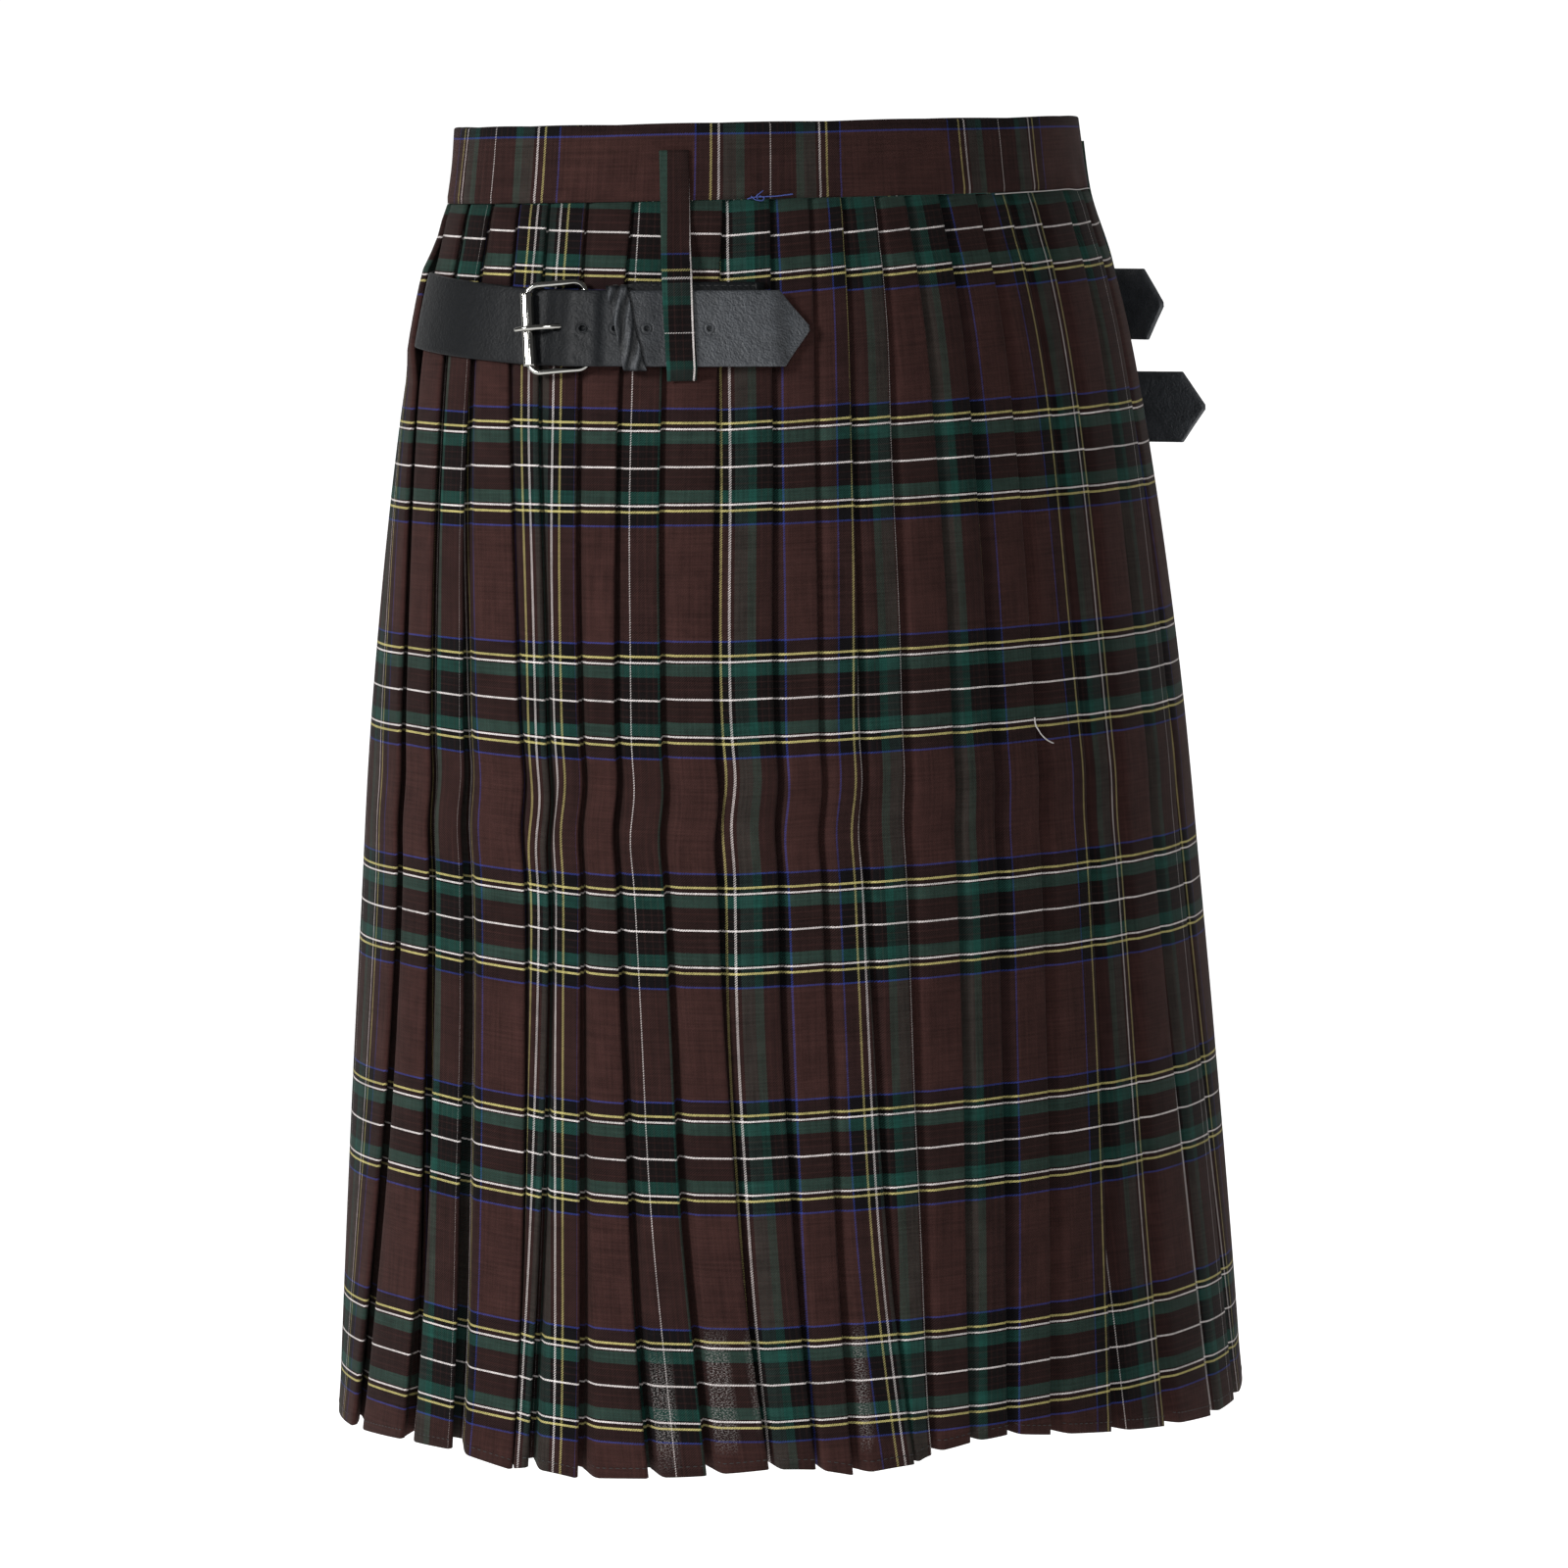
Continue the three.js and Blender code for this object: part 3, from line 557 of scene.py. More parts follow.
def over_apron(drop):
    section = Section(drop)
    fold = fold_line(0, drop)
    edge = math.radians(APRON_FREE_EDGE)
    steps = 90
    angles = mix(edge, fold, np.linspace(0, 1, steps) ** 0.9)[:-1]
    inward = (fold - angles) * reach((fold + angles) / 2, drop)
    # The stripes hang straight down the middle of the front and follow the fold beside it
    middle = math.radians(-90)
    from_middle = (angles - middle) * reach((angles + middle) / 2, drop)
    hangs = fold_repeat(0, drop) - APRON_HALF + from_middle
    across = mix(fold_repeat(0, drop) - inward, hangs, smooth(inward, 0, APRON_BLEND))
    drape = APRON_DRAPE * smooth(drop, 120, 560) * np.sin(angles * 9 + 0.8) * smooth(inward, 10, 90)
    drape = np.minimum(drape, 0) * smooth(-np.degrees(angles), 22, 40)
    section.rows += zip(angles, FACE + bulge(drop, inward) + drape, across, 0 * angles)
    fold_over(section, 0, float(bulge(drop, 0)), CLOTH + SEAM_GAP + 0.1)
    return section


def under_apron(drop):
    section = Section(drop)
    start, end = fold_line(LAST_FOLD, drop), math.radians(UNDER_APRON_EDGE)
    deepest = max(fold_lift(0, drop), fold_lift(1, drop)) + FOLD_SPACING
    come_forward(section, LAST_FOLD, fold_repeat(LAST_FOLD, drop) + 40)
    steps = 90
    angles = np.linspace(start, end, steps)[1:]
    along = (angles - start) * reach((angles + start) / 2, drop)
    sink = smooth(angles, math.radians(290), math.radians(326))
    lifts = FACE - mix(fold_lift(LAST_FOLD, drop), deepest, sink)
    section.rows += zip(angles, lifts, fold_repeat(LAST_FOLD, drop) + 40 + along, 0 * angles)
    return section


def skirt_levels():
    coarse = np.linspace(SKIRT_TOP, LENGTH, 78)
    near_crease = np.linspace(282, 345, 16)
    return np.unique(np.round(np.concatenate([coarse, near_crease]), 2))


HEM_TUCK = 0.4
HEM_STITCH = 605.4
HEM_TURNING = 0.5
# Worn patches: the fold to their right, their drops, and how far across the face they reach
WORN = [
    (7, 552, 606, 0.1, 0.62), (8, 542, 600, 0.0, 0.6), (9, 542, 590, -0.1, 0.12),
    (11, 542, 600, 0.0, 0.38),
]
HANG_START = 440
# The seam pinches the cloth in, and it puffs out just below
SEAM_PINCH = 0.35
SEAM_PUFF = 0.75
HEM_ANGLES = np.radians([row[2] for row in FOLDS])
HEM_HANGS = np.array([row[4] for row in FOLDS], float)


def cloth_grid(sections):
    """Grid of points on the middle of the cloth, in millimetres, and its place in the tartan."""
    points, places = [], []
    for drop, rows in sections:
        points.append(skirt_points(rows, drop, 0))
        level = TOP - points[-1][:, 2] - BAND_HEIGHT
        drawn_up = LEFT_DRAWN_UP * (1 - smooth(np.degrees(rows[:, 0]), -5, 38)) * smooth(drop, 120, 480)
        down = DOWN * SKIRT_PHASE + level + 0.02 * max(drop - 330, 0) + drawn_up + rows[:, 3]
        places.append(np.stack([rows[:, 2], down], -1))
    return np.array(points), np.array(places)


def worn_share(sections):
    """How worn the cloth is at each point of the grid: some faces have a patch near the hem."""
    shares = []
    for drop, rows in sections:
        turned = np.degrees(rows[:, 0])
        share = np.zeros(len(rows))
        for k, top, foot, left, right in WORN:
            first = math.degrees(fold_line(k - 1, drop))
            width = math.degrees(fold_line(k, drop)) - first
            near = (turned > first + left * width) & (turned < first + right * width)
            near &= rows[:, 1] > FACE - 2.5
            share[near] = smooth(drop, top, top + 14) * (1 - smooth(drop, foot - 8, foot))
        shares.append(share)
    return np.array(shares)


def skirt_points(rows, drop, out):
    """Points of a level, raised and hung as the cloth is, and moved out from its middle."""
    tuck = HEM_TUCK * smooth(drop, 470, LENGTH) * np.maximum(FACE - rows[:, 1], 0)
    hang = (max(drop - HANG_START, 0) / (LENGTH - HANG_START)) ** 1.5
    raised = tuck - hang * np.interp(rows[:, 0], HEM_ANGLES, HEM_HANGS)
    puff = SEAM_PUFF * smooth(drop, 34, 41) * (1 - smooth(drop, 43, 60))
    puff -= SEAM_PINCH * (1 - smooth(drop, 36, 44))
    return surface(rows[:, 0], drop, rows[:, 1] + puff + out, raised)


def sides_of(points, thickness):
    """Both faces of a wall along the middle points, offset across the line of each level."""
    ahead = np.gradient(points, axis=1)
    ahead[:, :, 2] = 0
    size = np.linalg.norm(ahead, axis=2, keepdims=True)
    ahead /= np.maximum(size, 1e-6)
    out = np.stack([ahead[:, :, 1], -ahead[:, :, 0], np.zeros(ahead.shape[:2])], -1)
    half = thickness[:, None, None] / 2
    return points + out * half, points - out * half


def new_object(name, data):
    made = bpy.data.objects.new(name, data)
    bpy.context.scene.collection.objects.link(made)
    return made


def mesh_piece(name, vertices, faces, material, uv=None):
    """An object of the given points in millimetres, with its faces' place in the cloth."""
    mesh = bpy.data.meshes.new(name)
    mesh.from_pydata((np.asarray(vertices) * MM).tolist(), [], [list(map(int, f)) for f in faces])
    if uv is not None:
        layer = mesh.uv_layers.new(name="cloth")
        index = np.zeros(len(mesh.loops), dtype=np.int64)
        mesh.loops.foreach_get("vertex_index", index)
        layer.data.foreach_set("uv", (np.asarray(uv)[index] * MM).astype(np.float32).ravel())
    mesh.materials.append(material)
    mesh.polygons.foreach_set("use_smooth", [True] * len(mesh.polygons))
    mesh.validate()
    mesh.update()
    return new_object(name, mesh)


def grid_faces(rows, count, wrap_count=False, wrap_rows=False):
    """Quads of a grid of points numbered row by row."""
    r = np.arange(rows if wrap_rows else rows - 1)
    c = np.arange(count if wrap_count else count - 1)
    row, column = (v.ravel() for v in np.meshgrid(r, c, indexing="ij"))
    below, right = (row + 1) % rows, (column + 1) % count
    return np.stack([row * count + column, row * count + right, below * count + right,
                     below * count + column], -1)


def wall_piece(name, points, places, thickness):
    """A cloth wall, numbered at each level along its outer side and back along its inner side."""
    outer, inner = sides_of(points, thickness)
    rows, count = points.shape[:2]
    vertices = np.concatenate([outer, inner[:, ::-1]], axis=1).reshape(-1, 3)
    uv = np.concatenate([places, places[:, ::-1]], axis=1).reshape(-1, 2)
    sides = grid_faces(rows, 2 * count, wrap_count=True)[:, ::-1]
    n = np.arange(count - 1)
    top = np.stack([n, n + 1, 2 * count - 2 - n, 2 * count - 1 - n], -1)
    foot = top[:, ::-1] + 2 * count * (rows - 1)
    return mesh_piece(name, vertices, np.concatenate([sides, top, foot]), TARTAN, uv)


def mark(piece, name, shares):
    """Stores a share for each point, which the piece's finish reads by its name."""
    made = piece.data.attributes.new(name, "FLOAT", "POINT")
    made.data.foreach_set("value", shares.ravel().astype(np.float32))


def skirt_piece(name, node, section_at, held):
    sections = [(drop, np.array(section_at(drop).rows)) for drop in skirt_levels()]
    points, places = cloth_grid(sections)
    thickness = CLOTH + HEM_TURNING * smooth(skirt_levels(), HEM_STITCH - 4, HEM_STITCH - 2.5)
    piece = wall_piece(name, points, places, thickness)
    worn = worn_share(sections)
    mark(piece, "worn", np.concatenate([worn, worn[:, ::-1]], axis=1))
    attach(piece, "root")
    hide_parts(node)
    return piece


for skirt_row in [
    ("over_apron_cloth", "over_apron", over_apron, "hung"),
    ("under_apron_cloth", "under_apron", under_apron, "hung"),
    ("left_pleat_cloth", "pleats_left", lambda drop: pleats(0, LEFT_JOIN, drop), "gathered"),
    ("back_pleat_cloth", "pleats_back", lambda drop: pleats(LEFT_JOIN, RIGHT_JOIN, drop), "gathered"),
    ("right_pleat_cloth", "pleats_right", lambda drop: pleats(RIGHT_JOIN, LAST_FOLD, drop), "gathered"),
]:
    skirt_piece(*skirt_row)


# Rounded strips

def loop_piece(name, rings, material, closed=False, uv=None):
    """A skin round rings of points, closed at both ends or joined end to end."""
    rings = np.asarray(rings, float)
    rows, count = rings.shape[:2]
    faces = grid_faces(rows, count, wrap_count=True, wrap_rows=closed).tolist()
    if not closed:
        faces.append(list(range(count))[::-1])
        faces.append(list(range((rows - 1) * count, rows * count)))
    piece = mesh_piece(name, rings.reshape(-1, 3), faces, material, uv)
    shape = bmesh.new()
    shape.from_mesh(piece.data)
    bmesh.ops.recalc_face_normals(shape, faces=shape.faces)
    shape.to_mesh(piece.data)
    shape.free()
    return piece


def fitted(piece, node):
    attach(piece, "root")
    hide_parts(node)
    return piece


def round_edge(half_wide, half, radius, top_across, low_across, arc_points=7):
    """Outline of a flat strip's section as (across, lift) pairs, with rounded edges."""
    arc = np.radians(np.linspace(90, -90, arc_points))[1:-1]
    right = np.stack([half_wide - radius + radius * np.cos(arc), half * np.sin(arc)], -1)
    top = np.stack([top_across, np.full(len(top_across), half)], -1)
    low = np.stack([low_across[::-1], np.full(len(low_across), -half)], -1)
    return np.concatenate([top, right, low, -right])


# Waistband and belt loops

def band_line(drop_count=12):
    """Section of the doubled band as (offset, drop) pairs, folded over at its top edge."""
    half = BAND_THICKNESS / 2
    arc = np.radians(np.linspace(0, 180, 9))
    fold = np.stack([half * np.cos(arc), half - half * np.sin(arc)], -1)
    down = np.linspace(half, BAND_HEIGHT, drop_count)[1:]
    front = np.stack([np.full(len(down), half), down], -1)[::-1]
    rear = np.stack([np.full(len(down), -half), down], -1)
    return np.concatenate([front, fold, rear])


def band_piece():
    section = band_line()
    angles = np.radians(np.arange(APRON_FREE_EDGE, UNDER_APRON_EDGE + 0.01, 1.25))
    under = -1.5 * BAND_THICKNESS - 2 * SEAM_GAP
    laps = mix(-BAND_THICKNESS / 2, under, smooth(np.degrees(angles), 185, 205))
    steps = np.diff(angles) * reach((angles[1:] + angles[:-1]) / 2, BAND_HEIGHT / 2)
    far = np.concatenate([[0], np.cumsum(steps)])
    far -= np.interp(math.radians(BAND_WHITE_ANGLE), angles, far)
    drop = section[None, :, 1]
    angle = angles[:, None]
    ripple = 0.3 * np.sin(angle * 23 + 2 * np.sin(angle * 5)) * smooth(drop, 12, 30)
    ripple = ripple + 0.35 * np.sin(angle * 6.5 + drop / 12)
    tuck = 0.55 * smooth(drop, BAND_HEIGHT - 2.2, BAND_HEIGHT)
    top_wave = 0.3 * np.sin(angle * 9 + 0.7) * (1 - smooth(drop, 0, 10))
    lift = laps[:, None] + section[None, :, 0] + np.clip(ripple, -0.5, 0.3) - tuck
    rings = surface(angle, drop, lift) + np.stack([0 * lift, 0 * lift, top_wave + 0 * lift], -1)
    lean = 0.04 * (drop - BAND_HEIGHT / 2)
    uv = np.stack([ACROSS / 2 + far[:, None] + lean + 0 * lift, DOWN * BAND_PHASE + drop + 0 * lift], -1)
    piece = loop_piece("waistband_cloth", rings, TARTAN, uv=uv.reshape(-1, 2))
    return fitted(piece, "waistband")


LOOP_WIDTH = 13.4
LOOP_THICKNESS = 1.6
LOOPS = [
    ("belt_loop_left", 44.9, 45.9, 6.5,
     ((12, 0), (35, 0.05), (55, 0.4), (69.5, 1), (92, 1), (110.8, 1), (113.8, 0.45), (116.4, 0))),
    ("belt_loop_right", 160, 163.5, 0.5,
     ((12, 0), (35, 0.3), (56, 0.8), (78, 1), (100, 0.7), (116.4, 0))),
]
LOOP_WHITE_DROP = 94.5


def loop_strip(name, top, bottom, stand, rows):
    """A strip of cloth folded in four, which hangs from the band and is caught down at its foot."""
    rows = np.array(rows)
    low = SEAM_GAP + LOOP_THICKNESS / 2
    drops = np.linspace(rows[0, 0], rows[-1, 0], 70)
    shares = through(rows[:, 0], rows[:, 1], drops)
    way = (drops - rows[0, 0]) / (rows[-1, 0] - rows[0, 0])
    middle = np.radians(mix(top, bottom, way * way))
    spread = np.linspace(-LOOP_WIDTH / 2 + 0.8, LOOP_WIDTH / 2 - 0.8, 9)
    section = round_edge(LOOP_WIDTH / 2, LOOP_THICKNESS / 2, 0.8, spread, spread)
    across = section[None, :, 0] + 0 * drops[:, None]
    crown = 0.25 * (1 - (section[None, :, 0] / (LOOP_WIDTH / 2)) ** 2)
    sway = 0.3 * np.sin(drops / 11)[:, None] * section[None, :, 0] / LOOP_WIDTH
    lift = low + (stand * shares)[:, None] + section[None, :, 1] + crown + sway * shares[:, None]
    angle = advance(middle[:, None], drops[:, None], across)
    rings = surface(angle, drops[:, None], lift)
    down = DOWN / 2 + 0.9 - LOOP_WIDTH / 2 + section[None, :, 0] + 0.02 * (drops[:, None] - 90)
    uv = np.stack([ACROSS / 2 + drops[:, None] - LOOP_WHITE_DROP + 0 * lift, down], -1)
    piece = loop_piece(name + "_cloth", rings, TARTAN, uv=uv.reshape(-1, 2))
    return fitted(piece, name)


band_piece()
for loop_rows in LOOPS:
    loop_strip(*loop_rows)


# Straps, tabs, keepers and buckles

STRAP_WIDTH = 34.6
STRAP_THICKNESS = 2.4
STRAP_POINT = 13
CHAPE_THICKNESS = 1.5
HOLE_SPACING = 13.8
FASTENINGS = [
    dict(name="left", way=1, roller=20.1, start=-91.1, tab=107.6, end=127.5, drop=90.9, fall=0.024,
         front_fall=0.09, tilt=5.5, slant=13, leaves=1000, spring=0, upright=0, under=True),
    dict(name="right_upper", way=-1, roller=203, start=-62, tab=80, end=118.3, drop=91.6, fall=0,
         front_fall=0, tilt=-2, slant=-4, leaves=62, spring=0, upright=0.65, under=False),
    dict(name="right_lower", way=-1, roller=203, start=-62, tab=80, end=122.8, drop=142.4, fall=0,
         front_fall=0, tilt=2, slant=3, leaves=52, spring=8, upright=1, under=False),
]
RIDE = np.array([(-50, 1.6), (-14, 1.9), (-3, 2.7), (4.5, 2.7), (13, 5.9), (22, 9.4), (30, 9.4),
                 (34, 6.9), (51, 6.9), (59, 5.4)])
TUCKED = np.array([(-91.1, -4.2), (-88.9, -3.4), (-86.5, -1.9), (-83.9, -0.3), (-80.5, 1.4), (-76, 1.7)])
TAB_GAP = 0.45
TAB_TOP = 3.75
HEEL = 26
HEEL_LIFT = 4.2
ROLLER_LIFT = 7.3
FRAME_HEIGHT = 43
FRAME_WIRE = 1.35
FRAME_CORNER = 5
PRONG_ROUTE = np.array([(23.4, 4.6), (20, 4.5), (17.5, 4.9), (14.5, 6.4), (11.5, 8.4), (6.5, 10.4),
                        (0, 12), (-5, 11.4)])
PRONG_HOLE = 13.2
KEEPER_ALONG = 43.4
KEEPER_WIDTH = 10
TAB_HALF = 16
ROLLER_HALF = 17
ROLLER_RADIUS = 3.1


def strap_points(f, along, across, lift):
    """Points at distances past the roller, heights across the strap and lifts off the cloth."""
    along, across, lift = np.broadcast_arrays(*(np.asarray(v, float) for v in (along, across, lift)))
    middle = f["drop"] + np.where(along < 0, f["front_fall"], f["fall"]) * along
    held = np.minimum(along, f["leaves"])
    angle = advance(math.radians(f["roller"]), middle, f["way"] * held, 24)
    points = surface(angle, middle - across, lift)
    centre = surface(angle, middle, lift)
    free = np.maximum(along - f["leaves"], 0)
    straight = centre.copy()
    straight[..., 2] = points[..., 2]
    points = mix(points, straight, (f["upright"] * smooth(free, 0, 35))[..., None])
    ahead = surface(advance(angle, middle, f["way"], 1), middle, lift) - centre
    ahead /= np.linalg.norm(ahead, axis=-1, keepdims=True)
    turned = math.radians(-f["way"] * f["spring"])
    c, s = math.cos(turned), math.sin(turned)
    x, y = ahead[..., 0], ahead[..., 1]
    ahead = np.stack([x * c - y * s, x * s + y * c, ahead[..., 2]], -1)
    return points + ahead * free[..., None]


def strap_lift(f, along):
    along = np.asarray(along, float)
    lift = through(RIDE[:, 0], RIDE[:, 1], along)
    if f["under"]:
        lift = np.where(along < TUCKED[-1, 0], through(TUCKED[:, 0], TUCKED[:, 1], along), lift)
    if f["leaves"] > f["tab"]:
        lift = mix(lift, 1.6, smooth(along, f["tab"] + 1, f["tab"] + 12))
    return lift


# Creases worn into a strap: where each starts along and across it, where it ends, and its depth
STRAP_CREASES = [
    (17, 1, 33, -13, 0.28), (14, -6, 28, -17, 0.3), (24, 2, 37, -9, 0.2), (84, 15, 95, 9, 0.14),
]


def leather_piece(f, part, rings, closed=False):
    name = f["name"] + "_" + part
    return fitted(loop_piece(name + "_leather", rings, LEATHER, closed), name)


def strap_piece(f):
    half = STRAP_WIDTH / 2
    last_hole = f["end"] - 47.2
    holes = [last_hole - HOLE_SPACING * n for n in range(5)]
    fine = np.linspace(-3.2, 3.2, 17)
    stations = [np.arange(f["start"], f["end"], 1.6), [f["end"] - STRAP_POINT, f["end"]]]
    stations += [hole + fine for hole in holes + [PRONG_HOLE]]
    along = np.unique(np.round(np.concatenate(stations), 2))
    along = along[along <= f["end"]]
    spread = np.concatenate([np.linspace(-half + 0.7, -3.6, 9), fine, np.linspace(3.6, half - 0.7, 9)])
    section = round_edge(half, STRAP_THICKNESS / 2, 0.7, spread, spread[::6])
    narrowing = mix(1.2, half, (f["end"] - along) / STRAP_POINT)
    width = np.where(along > f["end"] - STRAP_POINT, narrowing, half)
    across = section[None, :, 0] * (width / half)[:, None]
    offset = np.repeat(section[None, :, 1], len(along), axis=0)
    there = np.repeat(along[:, None], len(section), axis=1)
    on_top = offset > STRAP_THICKNESS / 2 - 0.01
    dent = np.zeros_like(offset)
    for hole in holes:
        far = np.hypot(there - hole, across)
        dent -= 1.9 * (1 - smooth(far, 0.9, 1.35))
        dent += 0.3 * np.exp(-((far - 1.75) / 0.3) ** 2)
        dent -= 0.42 * np.exp(-((far - 2.35) / 0.32) ** 2)
    far = np.hypot((there - PRONG_HOLE) / 1.5, across)
    dent -= 1.6 * (1 - smooth(far, 1.2, 1.7))
    for start, down, finish, foot, depth in STRAP_CREASES:
        run = np.clip((there - start) / (finish - start), -0.2, 1.2)
        line = mix(down, foot, np.sign(run) * np.abs(run) ** 1.3)
        away = (across - line) / 1.1
        dent -= depth * np.exp(-away * away) * smooth(there, start - 3, start + 4) * (
            1 - smooth(there, finish - 4, finish + 3))
    lift = strap_lift(f, along)[:, None] + offset + np.where(on_top, dent, 0)
    wave = 0.25 * np.sin(there / 17 + 1.3) * np.sin(across / 9 + 0.6) * smooth(there, 60, 80)
    rings = strap_points(f, there, across, lift + np.maximum(wave, -0.1))
    # Painted light: the strap is painted paler and shinier towards its free end
    mark(leather_piece(f, "strap", rings), "painted_light", smooth(there, 12, 105))


def tab_piece(f):
    low = TAB_GAP + CHAPE_THICKNESS / 2
    high = TAB_TOP - CHAPE_THICKNESS / 2
    round_heel = HEEL_LIFT - low
    back = [(a, low) for a in np.arange(f["tab"], HEEL + 1, -2.5)]
    turn_angles = np.radians(np.linspace(-90, -340, 26))
    turned = [(HEEL + round_heel * math.cos(t), HEEL_LIFT + round_heel * math.sin(t))
              for t in turn_angles]
    forward = [(a, high) for a in np.arange(HEEL + 7, f["tab"] - 2, 2.5)]
    route = np.array(back + turned + forward)
    route[1:-1] = (route[:-2] + 2 * route[1:-1] + route[2:]) / 4
    ahead = np.gradient(route, axis=0)
    ahead /= np.linalg.norm(ahead, axis=1, keepdims=True)
    side = np.stack([-ahead[:, 1], ahead[:, 0]], -1)
    wide = smooth(route[:, 0], HEEL + 9, HEEL + 22)
    body = dict(f, leaves=1000)
    spread = np.linspace(-TAB_HALF + 0.5, TAB_HALF - 0.5, 16)
    section = round_edge(TAB_HALF, CHAPE_THICKNESS / 2, 0.5, spread, spread)
    share = (section[None, :, 0] + TAB_HALF) / (2 * TAB_HALF)
    across = mix(-TAB_HALF, (TAB_HALF + 5 * wide)[:, None], share)
    lean = math.tan(math.radians(f["tilt"]))
    along = route[:, :1] + side[:, :1] * section[None, :, 1] - lean * across * (1 - wide)[:, None]
    lift = route[:, 1:] + side[:, 1:] * section[None, :, 1]
    rings = strap_points(body, along, across, lift)
    leather_piece(f, "tab", rings)


def rounded_frame(half_wide, half_high, corner, arc_points, step):
    """Points round a rounded rectangle, with no more than about a step between them."""
    corners = []
    for sx, sy, first in ((1, 1, 0), (-1, 1, 90), (-1, -1, 180), (1, -1, 270)):
        for t in np.radians(np.linspace(first, first + 90, arc_points)):
            corners.append((sx * (half_wide - corner) + corner * math.cos(t),
                            sy * (half_high - corner) + corner * math.sin(t)))
    corners = np.array(corners)
    path = []
    for start, end in zip(corners, np.roll(corners, -1, axis=0)):
        gaps = max(1, int(math.dist(start, end) / step))
        path += [mix(start, end, n / gaps) for n in range(gaps)]
    return np.array(path)


def keeper_piece(f):
    """A leather ring round the strap, creased where it has been worked along it."""
    half_wide = STRAP_WIDTH / 2 + 1.3
    half_deep = STRAP_THICKNESS / 2 + 0.9
    corner = 1.4
    path = rounded_frame(half_wide, half_deep, corner, 5, 1.0)
    ahead = np.roll(path, -1, axis=0) - np.roll(path, 1, axis=0)
    ahead /= np.linalg.norm(ahead, axis=1, keepdims=True)
    out = np.stack([ahead[:, 1], -ahead[:, 0]], -1)
    flat = np.linspace(-KEEPER_WIDTH / 2 + 0.4, KEEPER_WIDTH / 2 - 0.4, 17)
    section = round_edge(KEEPER_WIDTH / 2, 0.6, 0.4, flat, flat, 5)
    skew = math.tan(math.radians(f["slant"]))
    middle = float(strap_lift(f, KEEPER_ALONG))
    across = path[:, :1] + out[:, :1] * section[None, :, 1]
    lift = path[:, 1:] + out[:, 1:] * section[None, :, 1]
    narrow = 1 - 0.1 * (1 - (path[:, :1] / half_wide) ** 2)
    along = section[None, :, 0] * narrow
    front = smooth(path[:, 1:], 0, half_deep) * (section[None, :, 1] > 0.3)
    phase = along * 1.15 - path[:, :1] * 0.42
    crease = 0.5 * np.sin(phase + 0.9 * np.sin(path[:, :1] / 4.5)) + 0.18 * np.sin(phase * 2.3 + 1.2)
    lift = lift + front * (crease * 0.8 - 0.08)
    rings = strap_points(f, KEEPER_ALONG + along - skew * across, across, middle + lift)
    ring_piece = leather_piece(f, "keeper", rings, closed=True)
    # Painted highlight: the raised creases on the keeper's outer face are painted paler and shinier
    mark(ring_piece, "painted_light", front * np.clip(0.25 + 0.9 * crease, 0, 1))


def tube(route, radius, reference, sides=14, closed=False):
    """Rings of points round a route, with radii given for each of its points."""
    route = np.asarray(route, float)
    radius = np.broadcast_to(np.asarray(radius, float), len(route))
    if closed:
        ahead = np.roll(route, -1, axis=0) - np.roll(route, 1, axis=0)
    else:
        ahead = np.gradient(route, axis=0)
    ahead /= np.linalg.norm(ahead, axis=1, keepdims=True)
    first = np.cross(ahead, reference)
    first /= np.linalg.norm(first, axis=1, keepdims=True)
    second = np.cross(first, ahead)
    t = np.linspace(0, 2 * math.pi, sides, endpoint=False)
    return (route[:, None] + radius[:, None, None] * (np.cos(t)[None, :, None] * first[:, None]
                                                      + np.sin(t)[None, :, None] * second[:, None]))


